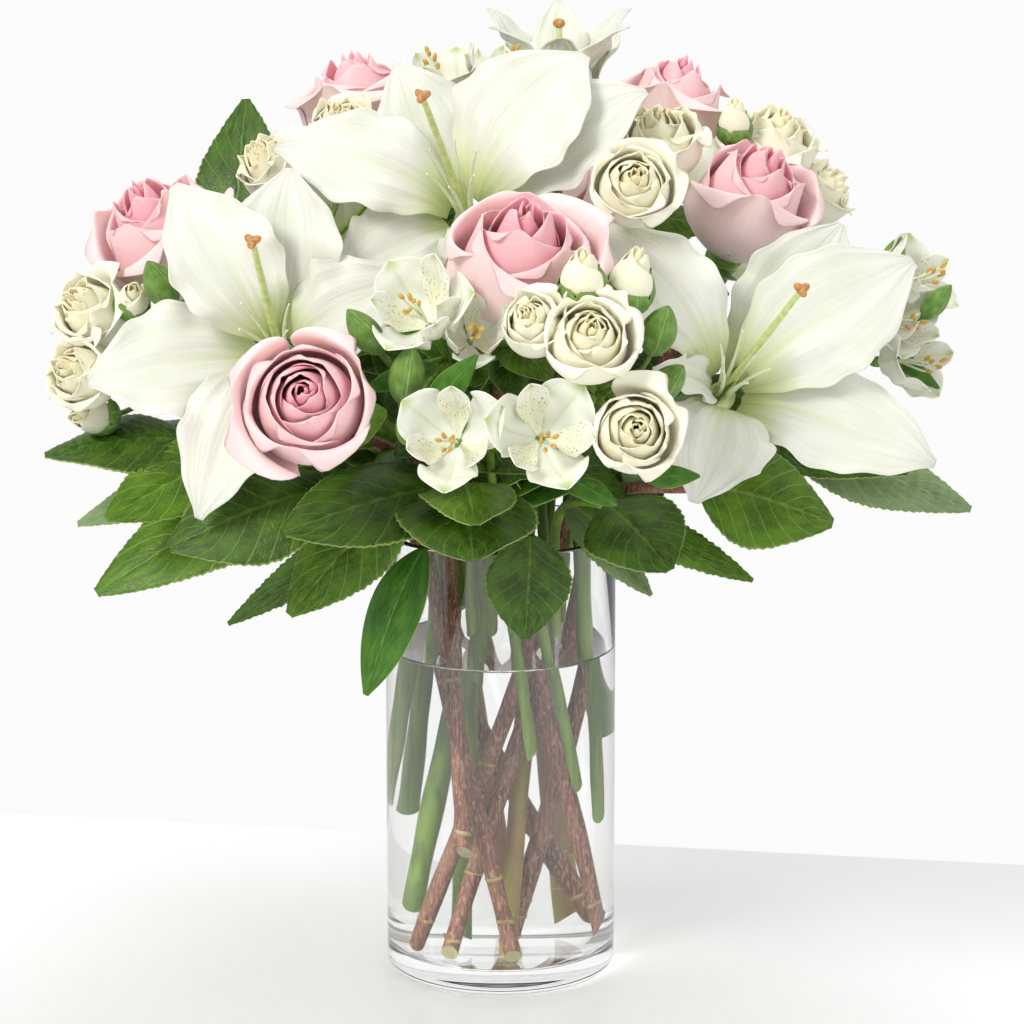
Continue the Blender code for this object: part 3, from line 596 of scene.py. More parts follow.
def lily_heart(name, throat, facing, stigma):
    """The green throat with its pistil, three-lobed stigma and six bare filaments."""
    rim = TOP + Vector(throat)
    facing = Vector(facing).normalized()
    seat = rim - facing * FUNNEL_DEPTH
    stigma = rim + Vector(stigma)
    end = (stigma - seat).normalized()
    parts = []
    path = bezier(seat - facing * 0.004, seat + facing * 0.022, stigma - end * 0.02, stigma - end * 0.001, 18)
    radii = [0.0052, 0.0050, 0.0044, 0.0034] + [0.0018 - 0.0005 * step / 14 for step in range(15)]
    parts.append(tube(name + "_pistil", path, radii, 14, PISTIL_GREEN))
    side, other = frame_of(end)
    for lobe in range(3):
        turn = math.tau * lobe / 3 + 0.4
        out = side * math.cos(turn) + other * math.sin(turn)
        centre = stigma + out * 0.0013 + end * 0.0006
        parts.append(ball(f"{name}_lobe_{lobe}", centre, out + end * 0.25, (0.0018, 0.0027), STIGMA_RUST))
    parts.append(ball(name + "_stigma_heart", stigma, end, (0.0021, 0.0022), STIGMA_RUST))
    side, other = frame_of(facing)
    for index in range(6):
        turn = math.tau * (index + 0.5) / 6
        out = side * math.cos(turn) + other * math.sin(turn)
        start = seat + out * 0.0026
        finish = seat + (facing + out * 0.20).normalized() * 0.054 + out * 0.001
        bow = seat + facing * 0.028 + out * 0.0028
        path = bezier(start, start.lerp(bow, 0.6), bow + (finish - bow) * 0.4, finish, 12)
        radii = [0.0012 - 0.0008 * step / 12 for step in range(13)]
        parts.append(tube(f"{name}_filament_{index}", path, radii, 8, FILAMENT_PALE))
    seat -= facing * 0.001
    parts.append(ball(name + "_receptacle", seat, facing, (0.0064, 0.0058), PISTIL_GREEN, 20, 12))
    finish_piece(joined(parts, f"{name}_centre_fine"), (f"{name}_centre",))


def small_lily(name, throat, facing, reach, rise, width, arch, cup, start=0.0):
    """A lily seen from behind or edge on: six curving petals round a short throat."""
    rim = TOP + Vector(throat)
    facing = Vector(facing).normalized()
    seat = rim - facing * FUNNEL_DEPTH
    side, other = frame_of(facing)
    parts = []
    for index in range(6):
        turn = math.tau * (index + start) / 6
        out = side * math.cos(turn) + other * math.sin(turn)
        inner = index % 2
        base = seat + out * FUNNEL_RADIUS * 0.9 + facing * (INNER_STEP if inner else 0)
        tip = rim + out * reach * (1.0 if inner else 1.05) + facing * rise
        bend = arch + (INNER_ARCH if inner else -INNER_ARCH) * 0.5
        place = blade_place(base, tip, width, bend, facing, cup, petal_outline, lily_detail(f"{name}{index}"))
        parts.append(grid(f"{name}_{index}", place, LILY_WHITE, (30, 16), LILY_SHEET))
    path = [seat - facing * 0.006, seat + facing * 0.002, seat + facing * 0.014, seat + facing * 0.055]
    parts.append(tube(name + "_pistil", path, [0.004, 0.0052, 0.0020, 0.0014], 12, PISTIL_GREEN))
    parts.append(ball(name + "_tip", seat + facing * 0.056, facing, (0.0028, 0.0022), STIGMA_RUST))
    finish_piece(joined(parts, name + "_fine"), (name,))


def shell_petal(name, base, axis, turn, radius, size, close, curl, wrap, tone, material, ruffle, seed, cells):
    """One rose petal: a piece of a goblet about the axis, standing on the base.

    radius is the goblet's, size the petal's height, close how far it leans in over the heart,
    curl how far its lip rolls out, and wrap half its width as an angle.
    """
    rng = random.Random(seed)
    side, other = frame_of(axis)
    phase = rng.uniform(0, math.tau)
    phase_two = rng.uniform(0, math.tau)
    point = rng.uniform(0.0, 0.035)
    tilt = rng.uniform(-0.05, 0.05)
    twist = 0.07 * (1 if rng.random() < 0.8 else -1)

    def place(along, across):
        share = min(max(along, 0), 1)
        body = math.sin(math.pi / 2 * min(share / 0.52, 1)) ** 0.75
        out = radius * (0.14 + 0.86 * body) * (1 - close * max(0.0, share - 0.45) ** 1.4 * 2.2)
        out += radius * twist * across * share
        narrow = 1 if share < 0.68 else math.sqrt(max(0.0, 1 - ((share - 0.68) / 0.33) ** 2.3))
        angle = turn + across * wrap * (0.55 + 0.45 * body) * max(narrow, 0.30)
        height = size * (share + point * math.exp(-(across / 0.30) ** 2) * share ** 5 + tilt * across * share)
        height -= size * 0.10 * abs(across) ** 2.5 * share ** 2
        roll = max(0.0, (share - 0.66) / 0.34)
        lip = curl * (0.50 + 0.95 * across * across)
        out += lip * roll ** 1.5 + curl * 0.50 * abs(across) ** 3 * share
        height -= lip * 0.85 * roll ** 2.4
        wave = math.sin(across * 4.2 + phase) * 0.6 + math.sin(across * 8.7 + phase_two) * 0.4
        out += ruffle * wave * share ** 3
        height += ruffle * 0.8 * math.sin(across * 6.3 + phase_two) * roll
        return base + axis * height + (side * math.cos(angle) + other * math.sin(angle)) * out
    return grid(name, place, material, cells, None, tone)


def rose_layers(name, base, axis, radius, height, material, count, ruffle, openness, seed, cells):
    """Petals in a spiral from the tight heart to the open outside, as one piece."""
    rng = random.Random(seed)
    parts = []
    for index in range(count):
        share = index / (count - 1)
        width = radius * (0.15 + 0.77 * share ** 0.85)
        wrap = math.radians(155 - 80 * share ** 0.8) * rng.uniform(0.94, 1.08)
        size = height * (1.0 - 0.19 * share ** 1.6 * openness)
        curl = radius * (0.02 + 0.20 * share ** 1.8) * openness * rng.uniform(0.8, 1.2)
        parts.append(shell_petal(
            f"{name}_{index}", base, axis, GOLDEN * index + rng.uniform(-0.2, 0.2), width,
            size * rng.uniform(0.98, 1.02), 0.84 * (1 - share) ** 0.62, curl, wrap, 1 - share,
            material, ruffle * (0.3 + 0.7 * share), seed * 100 + index, cells,
        ))
    return thicken(joined(parts, name), ROSE_SHEET)


def calyx(name, base, axis, radius, length, spread):
    """The green cup under a bloom with its five sepals."""
    side, other = frame_of(axis)
    hip = ball(name + "_hip", base, axis, (radius * 0.30, radius * 0.34), SEPAL_GREEN, 14, 10)
    sepals = []
    for index in range(5):
        turn = math.tau * index / 5
        out = side * math.cos(turn) + other * math.sin(turn)
        start = base + out * radius * 0.16 + axis * radius * 0.08
        finish = base + out * radius * spread + axis * length
        place = blade_place(start, finish, radius * 0.32, 0.16, axis, -0.2, leaf_outline)
        sepals.append(grid(f"{name}_sepal_{index}", place, SEPAL_GREEN, (8, 4)))
    return [hip, thicken(joined(sepals, name + "_sepals"), LEAF_SHEET)]


def big_rose(name, middle, axis, radius, height):
    """A pink rose on its calyx; those facing upwards have fewer petals."""
    base = middle - axis * height * HEAD_SHARE
    seed = sum(map(ord, name))
    count = 14 if axis.z > 0.6 else 18
    tall = height * 0.98
    parts = [rose_layers(name, base, axis, radius, tall, ROSE_PINK, count, 0.0012, 1.0, seed, (13, 13))]
    parts += calyx(name, base - axis * 0.002, axis, radius * 0.9, height * 0.22, 0.75)
    finish_piece(joined(parts, name + "_fine"), (name,))


def spray_rose(name, middle, axis, radius, height):
    """A small cream rose with a ruffled, opened rim."""
    base = middle - axis * height * HEAD_SHARE
    seed = sum(map(ord, name))
    tall = height * 0.98
    parts = [rose_layers(name, base, axis, radius, tall, ROSE_CREAM, 17, 0.0024, 0.90, seed, (10, 9))]
    return parts + calyx(name, base, axis, radius * 0.8, height * 0.22, 0.85)


def bud(name, middle, axis, radius, height):
    """A closed bud: cream petals wrapped tight, held by long green sepals."""
    base = middle - axis * height * HEAD_SHARE
    petals = []
    for index in range(6):
        share = index / 5
        petals.append(shell_petal(
            f"{name}_{index}", base, axis, GOLDEN * index, radius * (0.31 + 0.51 * share),
            height * (0.97 - 0.07 * share), 0.75 - 0.25 * share, radius * 0.06 * share,
            math.radians(140 - 50 * share), 0.8 - 0.5 * share, ROSE_CREAM, 0.0004, index, (8, 8),
        ))
    parts = [thicken(joined(petals, name + "_petals"), SMALL_SHEET)]
    side, other = frame_of(axis)
    parts.append(ball(
        name + "_hip", base + axis * height * 0.04, axis, (radius * 0.55, height * 0.15), SEPAL_GREEN, 14, 10
    ))
    sepals = []
    for index in range(5):
        turn = math.tau * index / 5 + 0.3
        out = side * math.cos(turn) + other * math.sin(turn)
        place = sepal_place(base, axis, out, radius, height, index)
        sepals.append(grid(f"{name}_sepal_{index}", place, SEPAL_GREEN, (12, 6)))
    parts.append(thicken(joined(sepals, name + "_sepals"), LEAF_SHEET))
    return parts


def sepal_place(base, axis, out, radius, height, index):
    """A sepal lying on the bud, a little free at its tip."""
    across_way = axis.cross(out)
    long = height * (0.70 if index % 2 else 0.52)
    free = radius * (0.10 if index % 2 else 0.30)

    def place(along, across):
        share = min(max(along, 0), 1)
        belly = radius * (0.46 + 0.42 * math.sin(math.pi * min(share * 1.1, 1) ** 0.9))
        angle = across * (0.62 * leaf_outline(share) + 0.05)
        spoke = out * math.cos(angle) + across_way * math.sin(angle)
        return base + spoke * (belly + free * share ** 3) + axis * long * share
    return place


def star(name, middle, axis, radius, height):
    """An alstroemeria: three broad outer petals, three flecked inner ones, and six stamens."""
    base = middle - axis * height * TWIG_SHARE
    side, other = frame_of(axis)
    rng = random.Random(sum(map(ord, name)))
    start = rng.uniform(0, 1)
    petals = []
    for index in range(6):
        inner = index % 2
        turn = math.tau * (index + start) / 6
        out = side * math.cos(turn) + other * math.sin(turn)
        foot = base + out * radius * 0.06 + axis * (0.001 if inner else 0)
        reach = radius * (0.84 if inner else 1.0) * rng.uniform(0.94, 1.03)
        tip = base + out * reach + axis * height * (0.96 if inner else 0.80) * rng.uniform(0.94, 1.04)
        width = radius * (0.66 if inner else 1.16)
        detail = star_detail(width, inner, rng.uniform(0, math.tau))
        outline = inner_outline if inner else outer_outline
        place = blade_place(foot, tip, width, -0.17 if inner else -0.15, axis, 0.34, outline, detail)
        petals.append(grid(f"{name}_petal_{index}", place, ALSTROEMERIA, (16, 10), tone=float(inner)))
    parts = [thicken(joined(petals, name + "_petals"), SMALL_SHEET)]
    down = Vector((0, 0, -1))
    down = (down - axis * down.dot(axis)).normalized()
    for index in range(6):
        turn = math.tau * (index + start + 0.5) / 6
        out = side * math.cos(turn) + other * math.sin(turn)
        finish = base + axis * height * (0.78 + 0.12 * (index % 3)) + (out * 0.14 + down * 0.22) * radius
        path = bezier(base, base + axis * height * 0.4, finish - axis * 0.006, finish, 8)
        parts.append(tube(f"{name}_stamen_{index}", path, [0.0005] * 9, 6, FILAMENT_PALE))
        parts.append(ball(
            f"{name}_anther_{index}", finish, axis + out * 0.6, (0.0010, 0.0020), ANTHER_OCHRE, 8, 6
        ))
    seat = base - axis * height * 0.10
    parts.append(ball(name + "_seat", seat, axis, (radius * 0.13, height * 0.16), SEPAL_GREEN))
    return parts


def round_outline(along, widest):
    """Half the width of an alstroemeria petal, round at the tip and widest at the share given."""
    share = min(max(along, 0), 1)
    if share < widest:
        return 0.14 + 0.86 * math.sin(math.pi / 2 * share / widest) ** 1.3
    return math.sqrt(max(0.0, 1 - ((share - widest) / (1 - widest)) ** 2.4))


def outer_outline(along):
    return round_outline(along, 0.70)


def inner_outline(along):
    return round_outline(along, 0.62)


def star_detail(width, inner, phase):
    """The waves, groove and curled tip of an alstroemeria petal."""
    def detail(along, across):
        middle = math.sin(math.pi * min(max(along, 0), 1))
        ruffle = width * 0.08 * abs(across) ** 2 * middle * math.sin(along * 15 + phase + across * 2)
        groove = -width * 0.04 * math.exp(-(across / 0.12) ** 2) * middle
        curl = -width * (0.06 if inner else 0.16) * max(0, (along - 0.72) / 0.28) ** 2
        return 0.0, ruffle + groove + curl
    return detail


# ---------- stems and leaves ----------

def stem_line(node):
    """Where a stem's foot stands and where it crosses the rim's height, with its radius."""
    foot, lift, rim, radius = STEMS[node]
    usable = INNER_RADIUS - STEM_TO_GLASS - radius
    bottom = Vector((foot[0] * usable, foot[1] * usable, FLOOR + STEM_TO_GLASS + lift + 0.4 * radius))
    top = Vector((rim[0] * usable, rim[1] * usable, VASE_HEIGHT))
    return bottom, top, radius


def stem_points(node, end, facing, count=STEM_RINGS):
    """A stem's foot, then its bending part from the rim to its end."""
    bottom, rim = stem_line(node)[:2]
    reach = (end - rim).length
    along = (rim - bottom).normalized()
    arriving = end - Vector(facing).normalized() * 0.34 * reach
    return [bottom] + bezier(rim, rim + along * 0.38 * reach, arriving, end, count)


def stem_piece(name, node, end, facing, material, knots, seed):
    """A stem: straight through the water, bending above the rim, with nodes and a slanted cut foot."""
    rng = random.Random(seed)
    sides = 14
    bottom, rim, radius = stem_line(node)
    path = [bottom.lerp(rim, step / 26) for step in range(26)] + stem_points(node, end, facing, 22)[1:]
    total = len(path)
    radii = []
    for index in range(total):
        share = index / (total - 1)
        sway = 1 + 0.05 * math.sin(index * 0.9 + seed)
        radii.append(radius * sway * (1.0 - 0.35 * max(0, share - 0.5) * 2))
    along = (rim - bottom).normalized()
    side, other = frame_of(along)
    turn = rng.uniform(0, math.tau)
    slope = side * math.cos(turn) + other * math.sin(turn)
    piece = tube(name, path, radii, sides, material)
    for vertex in piece.data.vertices[:sides]:
        vertex.co += along * ((vertex.co - bottom).dot(slope) * 0.9 + radius * 0.2)
    piece.data.materials.append(CUT_END)
    for face in piece.data.polygons:
        if len(face.vertices) > 4 and (face.center - bottom).length < radius * 1.5:
            face.material_index = 1
    smooth(piece, 40)
    parts = [piece]
    for index in range(knots):
        spot = bottom.lerp(rim, rng.uniform(0.06, 0.92) if index else rng.uniform(0.03, 0.10))
        turn = rng.uniform(0, math.tau)
        out = side * math.cos(turn) + other * math.sin(turn)
        tilt = (along + out * 0.35).normalized()
        ring = [spot - tilt * 0.0011, spot - tilt * 0.0004, spot + tilt * 0.0004, spot + tilt * 0.0011]
        wide = radius * 1.05
        widths = [wide * 0.90, wide * 1.02, wide * 1.02, wide * 0.90]
        parts.append(tube(f"{name}_collar_{index}", ring, widths, sides, NODE_GOLD))
        eye = spot + out * radius * 0.95 + along * 0.0012
        parts.append(ball(f"{name}_eye_{index}", eye, along + out * 0.8, (0.0009, 0.0019), NODE_GOLD, 8, 6))
    return joined(parts, name)


def leaf_piece(name, base, tip, width, arch, face, material, seed, toothed=True, cup=-0.12):
    """A leaf: a bent blade with side ribs, small teeth and a sunk midrib."""
    rng = random.Random(seed)
    phase = rng.uniform(0, math.tau)
    length = (Vector(tip) - Vector(base)).length

    def detail(along, across):
        share = min(max(along, 0), 1)
        middle = math.sin(math.pi * share)
        swell = math.cos((along - abs(across) * 0.55) * math.tau / 0.124)
        puff = 0.00065 * swell * middle * (1 - abs(across)) * 2
        groove = -0.0012 * math.exp(-(across / 0.06) ** 2) * middle
        wave = width * 0.05 * across * abs(across) * math.sin(along * 6.5 + phase) * middle
        tooth = 0.0
        if toothed:
            saw = (along * length / 0.0031) % 1.0
            tooth = 0.0012 * saw * abs(across) ** 8 * middle ** 0.5 * (1 if across > 0 else -1)
        return tooth, puff + groove + wave
    place = blade_place(base, tip, width, arch, face, cup, leaf_outline, detail)
    cells = (int(max(40, length / 0.00115)), 18)
    return grid(name, place, material, cells, SMALL_SHEET, smooth_levels=0 if toothed else 1)


def leaf_stalk(name, stem_point, tip):
    """The stalk that joins a leaf to its stem."""
    way = (Vector(tip) - stem_point).normalized()
    path = [stem_point - way * 0.002, stem_point + way * 0.006, stem_point + way * 0.014]
    return tube(name, path, [0.0012, 0.0010, 0.0007], 8, STEM_GREEN)


def finish_piece(piece, nodes, align=False):
    """Keeps a piece with the body and lets it stand for its nodes; align moves it onto its node's box."""
    fresh()
    piece.select_set(True)
    bpy.context.view_layer.objects.active = piece
    if align:
        low, high = (Vector(corner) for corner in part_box(nodes[0]))
        points = [vertex.co for vertex in piece.data.vertices]
        mine_low = Vector([min(point[axis] for point in points) for axis in range(3)])
        mine_high = Vector([max(point[axis] for point in points) for axis in range(3)])
        shift = (low + high) / 2 - (mine_low + mine_high) / 2
        if shift.length < LARGEST_SHIFT:
            piece.data.transform(Matrix.Translation(shift))
    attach(piece, "root")
    if nodes:
        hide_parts(*nodes)


# ---------- vase and water ----------

def vase_pieces():
    """The glass cylinder, and the water that just enters its inner wall and climbs it a little."""
    low_ring = VASE_HEIGHT * 0.33
    high_ring = VASE_HEIGHT * 0.66
    inner_heel = HEEL_RADIUS * 0.8
    profile = [(0, 0.0008), (0.036, 0.0008), (0.041, 0.0)]
    profile += quarter((VASE_RADIUS - HEEL_RADIUS, HEEL_RADIUS), HEEL_RADIUS, -90, 0, 12)
    profile += [(VASE_RADIUS, low_ring), (VASE_RADIUS, high_ring)]
    profile += quarter((VASE_RADIUS - RIM_RADIUS, VASE_HEIGHT - RIM_RADIUS), RIM_RADIUS, 0, 90)
    profile += quarter((INNER_RADIUS + RIM_RADIUS, VASE_HEIGHT - RIM_RADIUS), RIM_RADIUS, 90, 180)
    profile += [(INNER_RADIUS, high_ring), (INNER_RADIUS, low_ring)]
    profile += quarter((INNER_RADIUS - inner_heel, FLOOR + inner_heel), inner_heel, 0, -90, 10) + [(0, FLOOR)]
    glass = turned("vase_fine", profile, GLASS)
    smooth(glass, 35)
    finish_piece(glass, ("vase",))
    sunk = 0.0001
    wet = INNER_RADIUS + sunk
    heel_wet = quarter((wet - inner_heel, FLOOR - sunk + inner_heel), inner_heel, -90, 0, 10)
    rise = [(wet, WATER_LEVEL), (wet, WATER_LEVEL + 0.0016), (wet - 0.0006, WATER_LEVEL + 0.0008)]
    rise += [(wet - 0.0016, WATER_LEVEL + 0.00025), (wet - 0.0035, WATER_LEVEL), (0, WATER_LEVEL)]
    water = turned("water_fine", [(0, FLOOR - sunk)] + heel_wet + rise, WATER)
    smooth(water, 35)
    finish_piece(water, ("water",))


# ---------- where everything is ----------

STEMS = {
    "rose_left": ((0.12, -0.64), 0, (-0.80, -0.35), WOODY_RADIUS),
    "rose_right": ((0.06, 0.13), 0, (0.97, 0.03), WOODY_RADIUS),
    "rose_front": ((0.84, -0.10), 0.006, (0.02, -0.26), WOODY_RADIUS),
    "rose_front_left": ((-0.34, -0.84), 0.050, (-0.52, -0.72), WOODY_RADIUS),
    "rose_back_left": ((0.05, 0.88), 0.004, (-0.36, 0.80), WOODY_RADIUS),
    "rose_back_right": ((0.06, -0.38), 0, (0.27, 0.71), WOODY_RADIUS),
    "rose_rear": ((0.40, 0.72), 0.004, (0.12, 0.90), WOODY_RADIUS),
    "lily_top": ((-0.30, 0.06), 0.004, (-0.22, -0.02), LILY_STEM_RADIUS),
    "lily_left": ((-0.86, 0.30), 0.060, (-0.60, -0.18), LILY_STEM_RADIUS),
    "lily_right": ((0.90, -0.30), 0.060, (0.82, -0.50), LILY_STEM_RADIUS),
    "lily_back": ((-0.66, 0.16), 0.014, (0.02, 0.70), LILY_STEM_RADIUS),
    "lily_rear": ((-0.60, 0.64), SHORT_STEM_LIFT, (-0.64, 0.68), LILY_STEM_RADIUS),
    "spray_front": ((0.72, -0.62), 0.078, (0.25, -0.85), GREEN_RADIUS),
    "spray_upper_left": ((-0.56, 0.56), 0.055, (-0.42, 0.42), GREEN_RADIUS),
    "spray_upper_right": ((0.60, 0.60), 0.090, (0.42, 0.52), GREEN_RADIUS),
    "spray_right": ((0.24, 0.18), SHORT_STEM_LIFT, (0.30, 0.20), GREEN_RADIUS),
    "spray_left": ((-0.70, 0.42), SHORT_STEM_LIFT, (-0.76, 0.44), GREEN_RADIUS),
    "spray_rear": ((0.64, 0.64), SHORT_STEM_LIFT, (0.68, 0.66), GREEN_RADIUS),
    "alstroemeria_front": ((0.30, -0.86), 0.095, (0.02, -0.86), GREEN_RADIUS),
    "alstroemeria_middle": ((-0.20, -0.36), 0.125, (-0.16, -0.44), GREEN_RADIUS),
    "alstroemeria_right": ((0.60, -0.16), SHORT_STEM_LIFT, (0.68, -0.20), GREEN_RADIUS),
    "alstroemeria_top": ((-0.02, 0.26), SHORT_STEM_LIFT, (-0.02, 0.30), GREEN_RADIUS),
    "salal_right": ((-0.72, -0.22), 0, (0.60, -0.50), WOODY_RADIUS),
    "salal_far_right": ((-0.46, -0.52), 0, (0.74, 0.35), WOODY_RADIUS),
    "salal_left": ((0.62, 0.42), 0.006, (-0.92, 0.12), WOODY_RADIUS),
    "salal_front": ((-0.08, -0.62), SHORT_TWIG_LIFT, (-0.12, -0.66), GREEN_RADIUS),
    "salal_lower_left": ((-0.28, -0.62), SHORT_TWIG_LIFT, (-0.32, -0.66), GREEN_RADIUS),
    "salal_lower_right": ((0.54, -0.58), SHORT_TWIG_LIFT, (0.54, -0.72), GREEN_RADIUS),
    "salal_top_left": ((-0.38, 0.14), SHORT_TWIG_LIFT, (-0.42, 0.14), GREEN_RADIUS),
    "salal_rear_left": ((-0.12, 0.88), SHORT_TWIG_LIFT, (-0.12, 0.93), GREEN_RADIUS),
    "salal_rear_right": ((0.46, 0.74), SHORT_TWIG_LIFT, (0.50, 0.76), GREEN_RADIUS),
}

OLIVE_STEMS = ("rose_back_left", "rose_rear", "rose_back_right")

# name: centre from the vase's mouth, way it faces, radius, height
ROSES = {
    "rose_front_left": ((-0.078, -0.150, 0.088), (-0.06, -0.90, 0.43), 0.0295, 0.054),
    "rose_front": ((0.008, -0.112, 0.137), (0.12, -0.45, 0.88), 0.035, 0.064),
    "rose_right": ((0.106, -0.020, 0.147), (0.35, -0.30, 0.88), 0.029, 0.058),
    "rose_left": ((-0.146, 0.0, 0.128), (-0.42, -0.30, 0.86), 0.031, 0.060),
    "rose_back_left": ((-0.062, 0.062, 0.177), (-0.20, 0.05, 0.96), 0.029, 0.048),
    "rose_back_right": ((0.076, 0.036, 0.179), (0.20, 0.05, 0.96), 0.025, 0.048),
    "rose_rear": ((0.020, 0.128, 0.128), (0.05, 0.75, 0.65), 0.030, 0.056),
}

# name: throat, way it faces, stigma, which petals are inner, and each petal's tip, width and bend
LILIES = {
    "lily_left": (
        (-0.095, -0.090, 0.104), (-0.10, -0.86, 0.50), (-0.006, -0.045, 0.049), 1,
        [
            ((0.006, 0.028, 0.067), 0.050, 0.20), ((-0.042, 0.020, 0.061), 0.046, 0.20),
            ((-0.078, -0.005, -0.017), 0.050, 0.20), ((-0.031, -0.030, -0.071), 0.040, 0.18),
            ((0.018, 0.006, -0.036), 0.030, 0.20), ((0.058, 0.006, 0.023), 0.042, 0.20),
        ],
    ),
    "lily_top": (
        (-0.017, -0.052, 0.159), (-0.12, -0.78, 0.61), (-0.015, -0.045, 0.048), 0,
        [
            ((0.053, 0.028, 0.056), 0.056, 0.20), ((-0.027, 0.033, 0.050), 0.042, 0.20),
            ((-0.079, 0.012, 0.019), 0.044, 0.20), ((-0.051, -0.022, -0.034), 0.042, 0.20),
            ((0.012, -0.022, -0.034), 0.030, 0.20), ((0.079, 0.018, 0.042), 0.046, 0.20),
        ],
    ),
    "lily_right": (
        (0.098, -0.090, 0.087), (0.15, -0.85, 0.50), (0.026, -0.040, 0.045), 0,
        [
            ((0.077, 0.020, 0.047), 0.054, 0.14), ((0.048, 0.040, 0.058), 0.044, 0.18),
            ((-0.054, 0.030, 0.060), 0.040, 0.22), ((-0.032, -0.025, 0.010), 0.018, 0.20),
            ((-0.016, -0.025, -0.047), 0.048, 0.20), ((0.085, -0.012, -0.033), 0.044, 0.20),
        ],
    ),
}

# name, throat and way it faces, then its petals' reach, rise, width, bend, cup and turn
SMALL_LILIES = (
    ("lily_back", (0.026, 0.062, 0.186), (0, -0.10, 0.99), (0.032, 0.034, 0.026, 0.12, 0.1, 0.0)),
    ("lily_rear", (-0.075, 0.128, 0.110), (-0.35, 0.70, 0.62), (0.070, -0.008, 0.044, 0.12, 0.1, 0.37)),
)

# name: fork, then each head's kind, centre, way it faces, radius and height
CLUSTERS = {
    "spray_front": ((0.040, -0.110, 0.085), [
        ("rose", (0.054, -0.170, 0.081), (0.10, -0.93, 0.35), 0.0195, 0.034),
        ("rose", (0.036, -0.165, 0.117), (0.10, -0.80, 0.60), 0.0205, 0.034),
        ("rose", (0.014, -0.158, 0.122), (-0.20, -0.75, 0.62), 0.0145, 0.030),
        ("bud", (0.034, -0.150, 0.1405), (0, -0.30, 0.95), 0.0120, 0.026),
        ("bud", (0.054, -0.140, 0.1375), (0.20, -0.30, 0.93), 0.0120, 0.030),
    ]),
    "spray_upper_right": ((0.062, -0.030, 0.130), [
        ("rose", (0.069, -0.012, 0.172), (-0.10, -0.40, 0.91), 0.0205, 0.036),
        ("rose", (0.056, -0.072, 0.164), (0.05, -0.80, 0.60), 0.0200, 0.030),
    ]),
    "spray_right": ((0.100, 0.020, 0.110), [
        ("rose", (0.119, 0.020, 0.166), (0.25, -0.30, 0.92), 0.0200, 0.036),
        ("rose", (0.138, 0.024, 0.144), (0.75, -0.20, 0.62), 0.0165, 0.032),
        ("bud", (0.102, 0.004, 0.180), (0, -0.20, 0.97), 0.0090, 0.022),
    ]),
    "spray_upper_left": ((-0.080, 0, 0.120), [
        ("rose", (-0.098, 0.008, 0.158), (-0.45, -0.50, 0.74), 0.0170, 0.034),
        ("rose", (-0.069, 0.008, 0.176), (-0.10, -0.60, 0.80), 0.0150, 0.028),
        ("rose", (-0.047, 0.004, 0.174), (0, -0.60, 0.80), 0.0120, 0.026),
    ]),
    "spray_left": ((-0.135, 0, 0.075), [
        ("rose", (-0.175, -0.028, 0.101), (-0.55, -0.60, 0.58), 0.0185, 0.036),
        ("rose", (-0.179, -0.040, 0.077), (-0.55, -0.70, 0.40), 0.0165, 0.034),
        ("bud", (-0.176, -0.034, 0.058), (-0.50, -0.60, 0.10), 0.0100, 0.026),
        ("bud", (-0.158, -0.040, 0.110), (0.10, -0.70, 0.70), 0.0090, 0.022),
    ]),
    "spray_rear": ((0.075, 0.080, 0.100), [
        ("rose", (0.086, 0.118, 0.140), (0.40, 0.70, 0.60), 0.0195, 0.036),
        ("rose", (0.110, 0.092, 0.108), (0.70, 0.50, 0.50), 0.0180, 0.034),
    ]),
    "alstroemeria_front": ((-0.004, -0.110, 0.060), [
        ("star", (-0.019, -0.165, 0.078), (-0.15, -0.90, 0.40), 0.0215, 0.028),
        ("star", (0.018, -0.168, 0.080), (0.10, -0.92, 0.38), 0.0230, 0.028),
    ]),
    "alstroemeria_middle": ((-0.022, -0.090, 0.095), [
        ("star", (-0.032, -0.138, 0.125), (-0.25, -0.70, 0.67), 0.0220, 0.030),
        ("star", (-0.011, -0.140, 0.116), (0.10, -0.85, 0.50), 0.0155, 0.026),
        ("green", (-0.038, -0.146, 0.098), (0.15, -0.40, 0.90), 0.0078, 0.030),
    ]),
    "alstroemeria_right": ((0.150, -0.020, 0.085), [
        ("star", (0.178, -0.014, 0.114), (0.70, -0.35, 0.62), 0.0200, 0.028),
        ("star", (0.176, -0.036, 0.084), (0.80, -0.55, 0.22), 0.0190, 0.028),
        ("star", (0.170, -0.036, 0.102), (0.55, -0.78, 0.30), 0.0180, 0.028),
        ("star", (0.168, 0.014, 0.095), (0.80, 0.30, 0.50), 0.0190, 0.028),
    ]),
    "alstroemeria_top": ((-0.016, 0.030, 0.150), [
        ("star", (-0.024, 0.018, 0.195), (-0.25, -0.20, 0.94), 0.0190, 0.030),
        ("star", (0, 0.012, 0.197), (0.20, -0.10, 0.97), 0.0170, 0.028),
    ]),
}

UP = (0, -0.3, 1)

